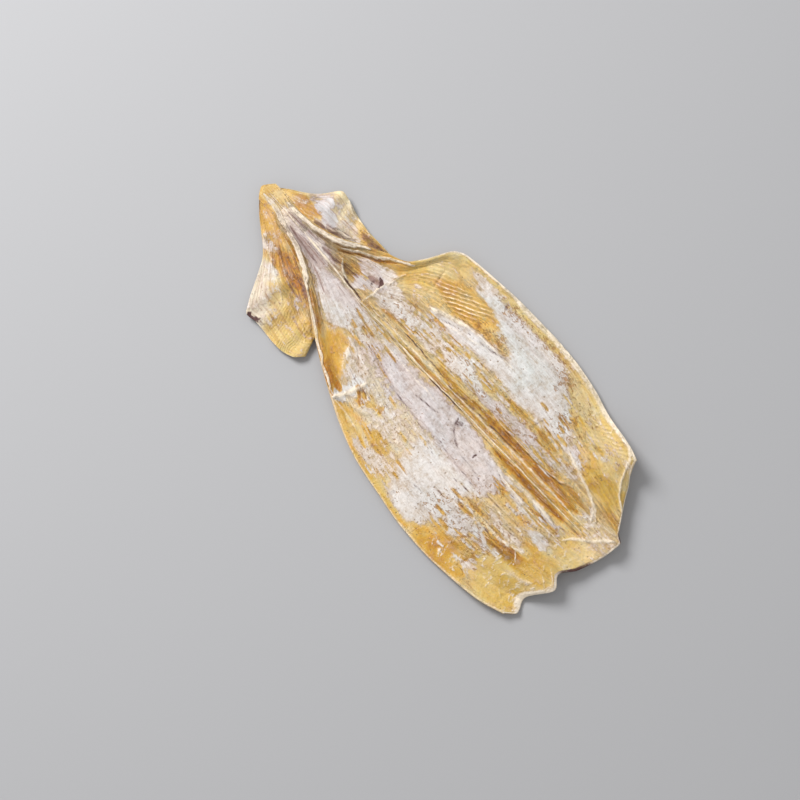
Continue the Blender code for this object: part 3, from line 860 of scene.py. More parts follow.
    "ribs": ((119, 35.5, 15, 6.5, 1, 12), (99, 35, 9, 12, 0.5), (222, 38, 18, 8, 0.35)),
    "ribSpacing": 2.2,
    "ribSlant": (0.90, 0.44),  # how the ribs run: across and down shares
    # painted light: the trough is made paler to lift the shade that falls between its raised edges
    "troughPaintedLight": ((30, 0, 24, 5, 0.55),),
}


def widerAt(down):
    # how much wider a streamer is than the sheet is in reality
    halfWidth = 0.5 * (through(body["rightEdge"], down) - through(body["leftEdge"], down))
    return float(widestHalf / halfWidth)


def randomCreases(down, across, beside, widthAt, settings, seed):
    # fine creases along the flow at random places: beside is a place's way across the flow, in
    # millimetres where the sheet is widest, and widthAt turns real widths into that measure
    count, downRange, besideRange, lengthRange, widthRange, spread = settings
    draw = np.random.default_rng(seed)
    crest, cut = np.zeros_like(down), np.zeros_like(down)
    for index in range(count):
        start = draw.uniform(*downRange)
        place = draw.uniform(*besideRange)
        length = draw.uniform(*lengthRange)
        width = draw.uniform(*widthRange) * widthAt(start)
        drift = draw.normal(0, spread) * widthAt(start)
        wave, phase = draw.uniform(8, 22), draw.uniform(0, 6)
        strength = draw.uniform(0.4, 1)
        near = np.flatnonzero(np.abs(down - start) < length)
        off = down[near] - start
        middle = place + drift * off + 0.5 * width * np.sin(off / wave + phase)
        mask = strength * bell(beside[near] - middle, width) * smoothStep(1, 0.3, np.abs(off) / length)
        chosen = crest if index % 2 else cut
        chosen[near] = np.maximum(chosen[near], mask)
    return crest, cut


def paleMarks(down, across, count, downRange, acrossRange, seed):
    # short pale wrinkles that lie across the flow
    draw = np.random.default_rng(seed)
    marks = np.zeros_like(down)
    for _ in range(count):
        start = draw.uniform(*downRange), draw.uniform(*acrossRange)
        run, slope = draw.uniform(2, 7), draw.normal(0, 0.35)
        middle = start[0] + slope * run / 2 + draw.uniform(-1, 1), start[1] + run / 2
        end = start[0] + slope * run, start[1] + run
        marks = np.maximum(marks, draw.uniform(0.4, 1) * strokeMask(down, across, (start, middle, end), 0.8))
    return marks


def endStrips(fromEnd, side, strips):
    masks = [
        level * smoothStep(start, end, fromEnd) * bell(side - place, reach)
        for level, start, end, place, reach in strips
    ]
    return np.maximum.reduce(masks)


def bodyRelief(down, across, side):
    # height and tones of the marks on the body's inner face
    marks, blend, rims = bodyMarks, bodyBlend, bodyRims
    none = np.zeros_like(down)
    streamer = widestHalf * side
    away = fromEdge(down, across, side)
    wave = {name: waves(across, down, settings) for name, settings in bodyWaves.items()}
    streak = {name: waves(streamer, down, settings) for name, settings in bodyStreaks.items()}
    # ragged borders: wander for patches, near for lines, rough for crumbs and spots
    wander = down + streak["wander"] + wave["wanderDown"], across + wave["wanderAcross"]
    near = down + wave["nearDown"], across + wave["nearAcross"]
    rough = near[0] + wave["roughDown"], near[1] + wave["roughAcross"]

    amber = paintPatches(np.full_like(down, marks["amberBase"]), wander, marks["amberPatches"])
    amber = amber + waves(wander[1], wander[0], marks["amberWave"])
    for width, level, *places in marks["amberLines"]:
        amber = paint(amber, strokeMask(*near, places, width), level)
    olive = paintPatches(np.full_like(down, marks["oliveBase"]), wander, marks["olivePatches"])
    bloom = np.full_like(down, marks["bloomBase"])
    for level, border, *outline in marks["bloomAreas"]:
        bloom = np.maximum(bloom, level * areaMask(*wander, outline, border))
    bloom = raisePatches(bloom, wander, marks["bloom"])
    bloom = bloom * (1 - blend["bloomLost"] * smoothStep(*blend["deepAmber"], amber)) + streak["bloom"]
    lilac = raisePatches(none, wander, marks["lilac"])
    plum = raisePatches(none, wander, marks["plum"])
    for width, level, *places in marks["plumLines"]:
        plum = np.maximum(plum, level * strokeMask(*near, places, width))
    glassy = raisePatches(none, wander, marks["glassy"])
    crumbs = raisePatches(np.full_like(down, marks["crumbsBase"]), wander, marks["crumbs"])
    for seed, settings in enumerate(bodyBreaks):
        white, brown = randomCreases(*rough, streamer, widerAt, settings, 91 + seed)
        brown, white = (smoothStep(*blend["breakBorder"], mask) for mask in (brown, white))
        bloom = np.maximum(bloom * (1 - blend["bloomLost"] * brown), blend["breakBloom"] * white)
        amber = paint(amber, blend["bloomLost"] * brown, blend["breakAmber"])
        crumbs = np.maximum(crumbs, blend["breakCrumbs"] * brown)

    # streaks and creases: shallower in the bloom, where the flesh is glassy, and near the tip
    calm = 1 - blend["bloomCalm"] * smoothStep(*blend["thickBloom"], bloom)
    calm = calm * (1 - blend["glassyCalm"] * glassy)
    roomy = blend["crowdedRoom"] + (1 - blend["crowdedRoom"]) * smoothStep(*blend["crowded"], down)
    relief = roomy * streak["wide"] + wave["swells"] + roomy * calm * streak["fine"]
    creases = [
        randomCreases(down, across, streamer, widerAt, settings, 61 + seed)
        for seed, settings in enumerate(bodyCreases)
    ]
    crest, cut = (calm * np.maximum(*both) for both in zip(*creases))
    relief = relief + blend["creaseRise"] * (crest - cut)
    # painted highlight: crests of the fine creases are painted paler; the cuts are painted darker in the
    # flesh material, a painted shade
    light = blend["creaseRise"] * crest
    dark = none
    for width, rise, paleness, *places in marks["bands"]:
        ragged = near[0], near[1] + width * wave["ragged"]
        core = strokeMask(*ragged, places, width, flat=True)
        inner = strokeMask(*ragged, places, width - blend["sideLine"], flat=True)
        halo = strokeMask(*ragged, places, width + blend["haloWidth"], flat=True)
        halo = np.maximum(halo - core, 0)
        relief = relief + rise * (core - blend["bandHollow"] * inner) - blend["haloDepth"] * halo
        sides = (blend["sideLight"] - paleness) * np.maximum(core - inner, 0)
        light = np.maximum(light, (blend["bandLight"] + wave["patchy"]) * paleness * core + sides)
        bloom = np.maximum(bloom, blend["bandBloom"] * paleness * core)
        dark = np.maximum(dark, blend["haloDark"] * paleness * halo) * (1 - core)
        plum = plum * (1 - blend["plumLost"] * core)
    for width, rise, paleness, *places in marks["ridges"]:
        mask = strokeMask(*near, places, width)
        relief = relief + rise * mask
        light = np.maximum(light, paleness * mask)
        dark = dark * (1 - blend["ridgeClears"] * mask)
    for seed, wrinkles in enumerate(marks["wrinkled"]):
        mask = paleMarks(*rough, *wrinkles, 81 + seed)
        relief = relief + blend["wrinkleRise"] * mask
        light = np.maximum(light, blend["wrinkleLight"] * mask)
        bloom = np.maximum(bloom, blend["wrinkleBloom"] * mask)
    for width, depth, darkness, *places in marks["cracksAndShadeLines"]:
        mask = strokeMask(*near, places, width)
        relief = relief - depth * mask
        dark = np.maximum(dark, darkness * mask)
    for mask, darkness in patchMasks(rough, marks["spots"]):
        dark = np.maximum(dark, darkness * mask)
        relief = relief - blend["spotDepth"] * darkness * mask
    relief = relief - raisePatches(none, near, marks["pocket"])
    slantAcross, slantDown = marks["ribSlant"]
    ribPhase = (across * slantAcross - down * slantDown) / marks["ribSpacing"] + wave["ribPhase"]
    ribShare = raisePatches(none, wander, marks["ribs"]) * (blend["ribEvenness"] + wave["ribShare"])

    # rims
    bandWidth = through(rims["bandWidth"], down)
    onRight = side > 0
    rolled = onRight & (down > rims["bandFrom"])
    border = rims["bandBorder"]
    band = np.where(rolled, smoothStep(bandWidth + border, bandWidth - border, away), 0)
    edgeLine = np.where(rolled, smoothStep(*rims["lineReach"], away), 0)
    light = np.maximum(light, np.maximum(rims["bandLight"] * band, edgeLine))
    bloom = np.maximum(bloom, rims["bandBloom"] * band)
    groove = bell(away - bandWidth - rims["grooveOff"], rims["grooveWidth"])
    groove = np.where(onRight & (down > rims["grooveFrom"]), groove, 0)
    relief = relief + rims["bandRise"] * band - rims["grooveDepth"] * groove
    amber = paint(amber, groove, rims["grooveAmber"])
    olive = paint(olive, groove, rims["grooveOlive"])
    granular = smoothStep(*rims["granularDown"], down) * smoothStep(*rims["granularReach"], away)
    granular = np.where(onRight, granular, 0)
    bloom = paint(bloom, granular, rims["granularBloom"])
    olive = paint(olive, granular, rims["granularOlive"])
    leftLine = bell(away - rims["leftOff"], rims["leftWidth"])
    leftLine = np.where(~onRight & (down > rims["leftFrom"]), leftLine, 0)
    light = np.maximum(light, rims["leftLight"] * leftLine)
    fromEnd = through(body["openEnd"], side) - down
    margin, skin = endStrips(fromEnd, side, rims["margins"]), endStrips(fromEnd, side, rims["skins"])
    light = np.maximum(light, margin)
    bloom = np.maximum(bloom, rims["marginBloom"] * margin) * (1 - rims["bareGroove"] * groove)
    # painted light makes the trough paler to lift its shade, except where plum shows; the skin at the open
    # end takes no pale
    light = np.maximum(light, raisePatches(none, wander, marks["troughPaintedLight"]) * (1 - plum)) * (1 - skin)
    dark = np.maximum(dark, rims["skinDark"] * skin)
    tones = {
        "amber": amber, "olive": olive, "bloom": bloom, "lilac": lilac, "light": light, "dark": dark,
        "plum": plum, "cut": cut, "crumbs": crumbs, "glassy": glassy, "ribShare": ribShare,
        "ribPhase": ribPhase, "flow": np.column_stack((streamer, down, none)),
    }
    return relief, tones


def makeBody(materials):
    sheet, along, share = newGrid("squid_body", body["rows"], body["columns"])
    side = share - body["crowding"] * np.sin(2 * np.pi * share) / (2 * np.pi)
    down, across = bodyPlace(along, side)
    height = sheetHeight(down, across, side) + edgeHeight(down, across, side)
    fromEnd = np.minimum(through(body["openEnd"], side) - down, along * body["tipRun"])
    weight = rimWeight(body, np.minimum(fromEdge(down, across, side), fromEnd))
    points = thicken(sheet, toRow(down, across, height), body["thickness"], weight, materials)
    relief, tones = bodyRelief(down, across, side)
    finishSheet(sheet, points, relief * smoothStep(0, 1, fromEnd), tones)
    print("body:", len(sheet.data.vertices), "points")


finCreases = (90, (0, 76), (1, 41), (5, 24), (0.25, 0.55), 0.04)

finStreaks = {"wander": (2.5, 3, 12, 41), "wide": (0.22, 2.4, 18, 43)}
finWaves = {
    "wanderAcross": (1.4, 6, 8, 42),
    "roughDown": (1.6, 2.4, 2.4, 47, 2),
    "roughAcross": (1.6, 2.4, 2.4, 48, 2),
    "swells": (0.14, 4, 5, 44),
    "ribPhase": (1.5, 8, 8, 45),
    "ribShare": (0.5, 5, 5, 46),
}

finMarks = {
    "amberWave": (0.07, 6, 9, 49),
    "creaseRise": 0.22,
    "creaseDepth": 0.18,
    "creaseLight": 0.34,
    "ribEvenness": 0.6,
    "base": {"olive": 0.3, "bloom": 0.3, "crumbs": 0.3, "glassy": 0.88},
    "left": {
        "plum": ((40, -16, 18, 4, 0.55), (52, -23, 12, 4, 0.62), (30, -15, 8, 3, 0.4)),
        "ridges": (
            (1.3, 0.4, 0.5, (16, -17), (20, -19), (28, -22), (35, -26), (40, -29), (50, -35)),
            (1.0, 0.3, 0.4, (24, -16), (36, -20), (48, -26)),
            (0.9, 0.3, 0.4, (58, -30), (68, -36), (76, -42)),
        ),
        "cracksAndShadeLines": (
            (2.6, 0.3, 0.4, (28, -14), (45, -17.5), (60, -25)),
            (2.0, 0.3, 0.35, (30, -17), (44, -22), (54, -26)),
            # partly painted shade: a brown crease where the fin folds out from under the body's edge,
            # darkened as its shadow
            (1.6, 0.4, 0.45, (50, -20), (60, -24.5), (70, -31), (76, -36)),
        ),
        "spots": (
            (43, -51.6, 2.6, 2, 1), (46.5, -50.4, 2.4, 1.6, 0.8), (50, -49.4, 2, 1.4, 0.5),
            (73, -34, 2.5, 3, 0.4),
        ),
        "streaked": ((40, -18, 20, 7, 0), (56, -26, 14, 6, 0)),
        "amberBase": 0.4,
        "amberPatches": (
            (8, -9, 16, 8, 0.63), (20, -14, 10, 5, 0.6), (40, -18, 18, 6, 0.72), (52, -24, 12, 6, 0.66),
            (44, -43, 14, 11, 0), (32, -30, 10, 6, 0.05), (64, -44, 14, 12, 0.56), (50, -32, 12, 5, 0.56),
            (72, -34, 7, 6, 0.66), (48, -37, 5, 5, 0.4), (34, -17, 7, 2, 0.86), (46, -21, 9, 2, 0.86),
        ),
        "olive": (
            (10, -10, 16, 9, 0.5), (46, -40, 14, 14, 0.6), (68, -44, 14, 12, 0.95), (34, -27, 14, 4, 0.6),
            (52, -36, 8, 8, 0.7), (40, -18, 18, 6, 0),
        ),
        "bloom": (
            (22, -18, 8, 3.4, 0.62), (33, -25.6, 6, 2.6, 0.7), (36, -34, 11, 7, 0.5),
            (44, -43, 13, 10, 0.48), (56, -27, 5, 4, 0.5), (58, -40, 6, 8, 0.4), (40, -21, 8, 2, 0.35),
        ),
        "lilac": ((54, -26, 8, 6, 0.7), (26, -18, 8, 4, 0.4)),
        "ribs": ((64, -42, 16, 13, 0.28),),
        "ribSpacing": 1.5,
        "ribSlant": (0.32, 0.95),
    },
    "right": {
        "plum": ((44, 12, 10, 2.4, 0.8), (62, 23, 12, 3, 0.8), (34, 9.4, 5, 1.4, 0.8)),
        "ridges": (
            (1.4, 0.5, 0.6, (34, 31), (40, 27.5), (50, 26.5), (58, 26)),
            (1.2, 0.4, 0.5, (20, 8), (32, 10), (44, 14), (56, 20)),
            (1.2, 0.3, 0.3, (12, 14), (24, 23), (31, 29)),
        ),
        "cracksAndShadeLines": (
            (2.0, 0.5, 0.45, (31, 8.4), (36, 9.6), (42, 11.6), (49, 14.6), (53, 17)),
            (1.2, 0.4, 0.6, (38, 13), (44, 15.6), (50, 18)),
            # partly painted shade: a dark purple line where the fin meets the body's edge, darkened as the
            # shadow between them
            (1.8, 0.5, 0.5, (55, 23), (66, 24.5), (72, 25)),
            (1.4, 0.3, 0.4, (38, 20), (48, 21), (56, 22)),
        ),
        "spots": ((33, 9, 2.5, 1.4, 0.4), (62, 24, 6, 1.6, 0.3)),
        "streaked": ((46, 15, 12, 3, 0), (64, 24, 10, 3, 0)),
        "amberBase": 0.3,
        "amberPatches": (
            (6, 9, 8, 5, 0.5), (55, 23, 12, 4, 0.62), (44, 22, 8, 6, 0.4), (18, 19, 9, 5, 0.3),
            (30, 27, 8, 6, 0.28), (60, 24, 10, 3, 0.66), (21.5, 10.4, 8.5, 5, 0.68), (40, 18, 10, 6, 0.2),
        ),
        "olive": ((10, 10, 14, 8, 0.7), (24, 14, 10, 10, 0.4), (40, 26, 16, 7, 0.8), (52, 22, 14, 6, 0.5)),
        # white powder; the first two patches go past full, a painted light that lifts the shade where the
        # fin slopes away from the lamp
        "bloom": (
            (27, 19, 5, 5.4, 1.2), (35, 15, 5.6, 5, 1.2), (22, 22, 9, 8, 0.5), (46, 18, 9, 6, 0.6),
            (36, 26, 8, 5, 0.5),
        ),
        "lilac": ((38, 13, 8, 4, 0.8), (28, 19, 10, 8, 0.8)),
        "ribs": ((52, 22, 14, 5, 0.28),),
        "ribSpacing": 2.1,
        "ribSlant": (-0.9, 0.44),
    },
}


def finRelief(marks, down, across, out):
    fibre = fins["fibreWidth"] * out
    none = np.zeros_like(down)
    base = {name: np.full_like(down, level) for name, level in finMarks["base"].items()}
    wave = {name: waves(across, down, settings) for name, settings in finWaves.items()}
    streak = {name: waves(fibre, down, settings) for name, settings in finStreaks.items()}
    wander = down + streak["wander"], across + wave["wanderAcross"]
    rough = down + wave["roughDown"], across + wave["roughAcross"]
    crest, cut = randomCreases(down, across, fibre, lambda start: 1.0, finCreases, 71)
    relief = streak["wide"] + wave["swells"] + finMarks["creaseRise"] * crest - finMarks["creaseDepth"] * cut
    # painted highlight on the crests of the fin's creases; the cuts are painted darker in the flesh material
    light = finMarks["creaseLight"] * crest
    dark = none
    amber = paintPatches(np.full_like(down, marks["amberBase"]), wander, marks["amberPatches"])
    amber = amber + waves(wander[1], wander[0], finMarks["amberWave"])
    for width, rise, paleness, *places in marks["ridges"]:
        mask = strokeMask(down, wander[1], places, width)
        relief = relief + rise * mask
        light = np.maximum(light, paleness * mask)
    for width, depth, darkness, *places in marks["cracksAndShadeLines"]:
        mask = strokeMask(down, wander[1], places, width)
        relief = relief - depth * mask
        dark = np.maximum(dark, darkness * mask)
    slantAcross, slantDown = marks["ribSlant"]
    ribPhase = (across * slantAcross + down * slantDown) / marks["ribSpacing"] + wave["ribPhase"]
    tones = {
        "amber": amber,
        "olive": paintPatches(base["olive"], wander, marks["olive"]),
        "bloom": raisePatches(base["bloom"], wander, marks["bloom"]),
        "lilac": raisePatches(none, wander, marks["lilac"]),
        "light": np.maximum(light, fins["rimLight"] * smoothStep(fins["rimFrom"], 1, out)),
        "dark": raisePatches(dark, rough, marks["spots"]),
        "plum": raisePatches(none, wander, marks["plum"]),
        "cut": cut,
        "crumbs": base["crumbs"],
        "glassy": paintPatches(base["glassy"], wander, marks["streaked"]),
        "ribShare": raisePatches(none, wander, marks["ribs"]) * (finMarks["ribEvenness"] + wave["ribShare"]),
        "ribPhase": ribPhase,
        "flow": np.column_stack((fibre, down, none)),
    }
    return relief, tones


def makeFin(name, materials):
    fin = fins[name]
    sheet, share, cross = newGrid("squid_" + name + "_fin", fin["rows"], fin["columns"])
    out = (1 + fin["direction"] * cross) / 2
    down, across, height = finPlace(fin, share, out)
    weight = rimWeight(fins, np.minimum((1 - out) * fins["outRun"], (1 - share) * fins["endRun"]))
    points = thicken(sheet, toRow(down, across, height), fins["thickness"], weight, materials)
    finishSheet(sheet, points, *finRelief(finMarks[name], down, across, out))
    print(name, "fin:", len(sheet.data.vertices), "points")


def tone(red, green, blue):
    # a colour as a paint chart gives it, 0 to 255, turned into light
    parts = []
    for part in (red, green, blue):
        part = part / 255
        parts.append(part / 12.92 if part <= 0.04045 else ((part + 0.055) / 1.055) ** 2.4)
    return (*parts, 1)


def feed(tree, node, inputs):
    # an input is a value or another node's output
    for name, value in dict(inputs).items():
        if isinstance(value, bpy.types.NodeSocket):
            tree.links.new(value, node.inputs[name])
        else:
            node.inputs[name].default_value = value
    return node


def addNode(tree, kind, inputs=(), **settings):
    node = tree.nodes.new("ShaderNode" + kind)
    for name, value in settings.items():
        setattr(node, name, value)
    return feed(tree, node, inputs)


def calculate(tree, operation, *values):
    return addNode(tree, "Math", enumerate(values), operation=operation).outputs[0]


def times(tree, first, second):
    return calculate(tree, "MULTIPLY", first, second)


def scaled(tree, value, gain, start):
    return calculate(tree, "MULTIPLY_ADD", value, gain, start)


def addScaled(tree, value, signals, strengths):
    # value plus each named signal at its strength
    for name, strength in strengths.items():
        value = scaled(tree, signals[name], strength, value)
    return value


def fade(tree, value, start, end):
    # 0 at start, 1 at end, smooth between
    inputs = {"Value": value, "From Min": start, "From Max": end}
    return addNode(tree, "MapRange", inputs, interpolation_type="SMOOTHSTEP").outputs["Result"]


def blendColours(tree, share, first, second, way="MIX"):
    inputs = {0: share, 6: first, 7: second}
    return addNode(tree, "Mix", inputs, data_type="RGBA", blend_type=way).outputs[2]


def stored(tree, name, kind="Fac"):
    return addNode(tree, "Attribute", attribute_name=name).outputs[kind]


def rampOf(tree, value, stops):
    node = addNode(tree, "ValToRGB", {"Fac": value})
    ramp = node.color_ramp
    while len(ramp.elements) < len(stops):
        ramp.elements.new(0.5)
    for element, (place, colour) in zip(ramp.elements, stops):
        element.position = place
        element.color = colour
    return node.outputs["Color"]


def newGroup(name, inputs, outputs):
    # an empty node group with named sockets: (name, kind, value)
    group = bpy.data.node_groups.new(name, "ShaderNodeTree")
    for socketName, kind, value in inputs:
        socket = group.interface.new_socket(socketName, in_out="INPUT", socket_type="NodeSocket" + kind)
        if value is not None:
            socket.default_value = value
    for socketName, kind in outputs:
        group.interface.new_socket(socketName, in_out="OUTPUT", socket_type="NodeSocket" + kind)
    return group, group.nodes.new("NodeGroupInput").outputs, group.nodes.new("NodeGroupOutput")


def placeGroup(tree, group, inputs):
    return feed(tree, addNode(tree, "Group", node_tree=group), inputs).outputs


def noiseAt(tree, vector, scale, detail, rough, twist):
    inputs = {"Vector": vector, "Scale": scale, "Detail": detail, "Roughness": rough, "Distortion": twist}
    return addNode(tree, "TexNoise", inputs).outputs["Fac"]


# The patterns in the flesh: stretch along the flow, if any, then scale, detail, roughness, twist
fibrePatterns = {
    "Streak": ((0.40, 0.045, 1), 1.0, 4.0, 0.6, 0.4),
    "Hair": ((1.2, 0.24, 1), 1.0, 4.0, 0.65, 0.8),
    "Crackle": (None, 300.0, 5.0, 0.68, 0.2),
    "Mottle": (None, 90.0, 4.0, 0.62, 0.5),
    "Grain": (None, 950.0, 2.0, 0.7, 0.0),
    "Fleck": ((0.75, 0.36, 1), 1.0, 3.0, 0.6, 1.0),
}
linePattern = ((0.6, 0.07, 1), 1.0, 3.0, 0.6, 1.2)
# Dark lines, and pale threads just beside them: the dark lines are partly the flesh's brown fibre lines and
# partly painted shade, and the pale threads are a painted highlight, so the pair looks embossed
lineLevels = {"Line": 0.5, "ThreadHighlight": 0.57}  # the levels of the pattern that show as lines
lineHalf = 0.026


def patternOf(tree, given, settings):
    stretch, *noiseSettings = settings
    vector = given["Place"]
    if stretch:
        vector = addNode(tree, "Mapping", {"Vector": given["Flow"], "Scale": stretch}).outputs["Vector"]
    return noiseAt(tree, vector, *noiseSettings)


def fibreGroup():
    # fibres along the flow at two widths, an even mottle, fine grain, and thin lines between fibres
    inputs = (("Flow", "Vector", None), ("Place", "Vector", None))
    outputs = [(name, "Float") for name in (*fibrePatterns, *lineLevels)]
    group, given, made = newGroup("fibreStreaks", inputs, outputs)
    line = patternOf(group, given, linePattern)
    for name, level in lineLevels.items():
        away = calculate(group, "ABSOLUTE", calculate(group, "SUBTRACT", line, level))
        group.links.new(fade(group, away, lineHalf, 0.0), made.inputs[name])
    for name, settings in fibrePatterns.items():
        # noise keeps near its middle, so it is spread to about -1 to 1
        offMiddle = calculate(group, "SUBTRACT", patternOf(group, given, settings), 0.5)
        group.links.new(times(group, offMiddle, 4.0), made.inputs[name])
    return group


powderLooks = {
    "cover": {"Streak": 0.20, "Hair": 0.10, "Crackle": 0.34, "Mottle": 0.18, "Grain": 0.08},
    "shade": {"Streak": 0.09, "Hair": 0.10, "Mottle": 0.06, "Crackle": 0.08, "Grain": 0.05},
    "solid": (0.40, 0.62),  # the amounts between which it closes
    "veil": (0.08, 0.6),
    "veilShare": 0.42,
    "thick": (0.4, 1.1),
    "lilacMottle": 0.3,
    "pale": (tone(222, 200, 176), tone(236, 233, 231)),  # thin, thick
    "cool": (tone(200, 180, 174), tone(226, 220, 222)),
    "tints": ((0.3, tone(244, 238, 232)), (0.5, tone(240, 239, 239)), (0.7, tone(234, 241, 242))),
    "tintNoise": (34.0, 3.0, 0.6, 0.6),
}


def bloomGroup():
    # the white powder: solid where there is much, broken into streaks and grains where there is little
    inputs = (
        ("Place", "Vector", None), ("Amount", "Float", 0.5), ("Lilac", "Float", 0.0),
        *((name, "Float", 0.0) for name in fibrePatterns),
    )
    group, given, made = newGroup("powderBloom", inputs, (("Cover", "Float"), ("Colour", "Color")))
    level = addScaled(group, given["Amount"], given, powderLooks["cover"])
    solid, veil, thick = (fade(group, level, *powderLooks[name]) for name in ("solid", "veil", "thick"))
    veil = times(group, veil, powderLooks["veilShare"])
    pale, cool = (blendColours(group, thick, *powderLooks[name]) for name in ("pale", "cool"))
    lilac = scaled(group, given["Mottle"], powderLooks["lilacMottle"], given["Lilac"])
    colour = blendColours(group, fade(group, lilac, 0.0, 1.0), pale, cool)
    tint = rampOf(group, noiseAt(group, given["Place"], *powderLooks["tintNoise"]), powderLooks["tints"])
    for shade in (tint, addScaled(group, 1.0, given, powderLooks["shade"])):
        colour = blendColours(group, 1.0, colour, shade, "MULTIPLY")
    feed(group, made, {"Cover": calculate(group, "MAXIMUM", solid, veil), "Colour": colour})
    return group


def newMaterial(name, fibres):
    # a material that has the fibre patterns: itself, its tree, the place on the squid, the patterns
    material = bpy.data.materials.new(name)
    material.use_nodes = True
    tree = material.node_tree
    place = addNode(tree, "TexCoord").outputs["Object"]
    flow = stored(tree, "flow", "Vector")
    return material, tree, place, placeGroup(tree, fibres, {"Flow": flow, "Place": place})


def finishMaterial(material, colour, roughness, height, bumpHeight):
    tree = material.node_tree
    bump = addNode(tree, "Bump", {"Strength": 1.0, "Distance": bumpHeight * mm, "Height": height})
    inputs = {"Base Color": colour, "Roughness": roughness, "Normal": bump.outputs["Normal"]}
    feed(tree, tree.nodes["Principled BSDF"], inputs)
    return material


fleshTones = {
    "ramp": (
        (0.0, tone(244, 231, 212)), (0.22, tone(240, 217, 174)), (0.42, tone(236, 199, 128)),
        (0.62, tone(229, 173, 74)), (0.8, tone(198, 125, 34)), (1.0, tone(122, 64, 18)),
    ),
    "oliveRamp": (
        (0.0, tone(243, 234, 208)), (0.22, tone(236, 220, 174)), (0.42, tone(228, 203, 132)),
        (0.62, tone(212, 174, 72)), (0.8, tone(172, 130, 36)), (1.0, tone(110, 80, 24)),
    ),
    # pale marks and rims, and also the painted highlights on crests and threads and the painted light in the
    # trough
    "pale": tone(250, 234, 210),
    "dark": tone(88, 58, 54),
    "speck": tone(150, 122, 96),
    "crumb": tone(164, 116, 62),
    # brown of the dark lines and cut creases, partly painted shade in them
    "crease": tone(158, 104, 56),
    "plum": tone(138, 97, 84),
}

# how strongly each pattern shows in each layer of the flesh
fleshMixes = {
    "amber": {"Streak": 0.15, "Crackle": 0.18, "Hair": 0.14, "Mottle": 0.18, "Grain": 0.06},
    "plum": {"Hair": 0.3, "Streak": 0.3, "Crackle": 0.22},
    "crumbs": {"Fleck": 0.8, "Crackle": 0.35, "Mottle": 0.15},
    "light": {"Crackle": 0.2, "Hair": 0.2, "Grain": 0.12, "Rib": 0.7},
    "dark": {"Hair": 0.3, "Crackle": 0.3, "Grain": 0.1},
    "uneven": {"Hair": 0.18, "Crackle": 0.3, "Grain": 0.14, "Rib": 0.28, "Mottle": 0.1},
    "roughness": {"Cover": 0.4, "Grain": 0.05, "Glassy": -0.05},
    "height": {
        "Cover": 0.3, "Streak": 0.06, "Calm crackle": 0.4, "Mottle": 0.12, "Grain": 0.12, "Rib": 0.55,
        "Bare hair": 0.2, "Crumbs": -0.4, "Bare line": -0.3, "Threads": 0.5, "Specks": -0.3,
    },
}
# the value that each layer starts from and the one where it is full, and its strength
fleshLayers = {
    "plum": (0.5, 0.8, 0.7),
    "crumbs": (0.76, 0.96, 0.74),
    "light": (0.15, 1.0, 1.0),
    "dark": (0.2, 0.9, 1.0),
}
fleshLooks = {
    "powder": 0.95,
    "glassyFibres": -0.8,  # what glassy flesh takes from the fibres and from the crackle
    "glassyCrackle": -0.55,
    "coveredThreads": -0.8,  # what the powder takes from the threads, lines and unevenness
    "coveredLines": -0.6,
    "coveredUneven": -0.7,
    "creases": 0.5,
    "lines": 0.36,
    "threadHighlights": 0.5,
    "ribTwist": 0.8,
    "speckReach": (0.26, 0.1),
    "speckTwist": 0.08,
    "rareSpecks": (0.55, 0.95),
    "specks": 0.7,
    "darkFrom": (0.0, 0.3),
    "roughness": 0.36,
    "refraction": 1.45,
}
speckScale = 420.0

markNames = (
    "amber", "olive", "bloom", "lilac", "light", "dark", "plum", "cut", "crumbs", "glassy", "ribShare",
    "ribPhase",
)


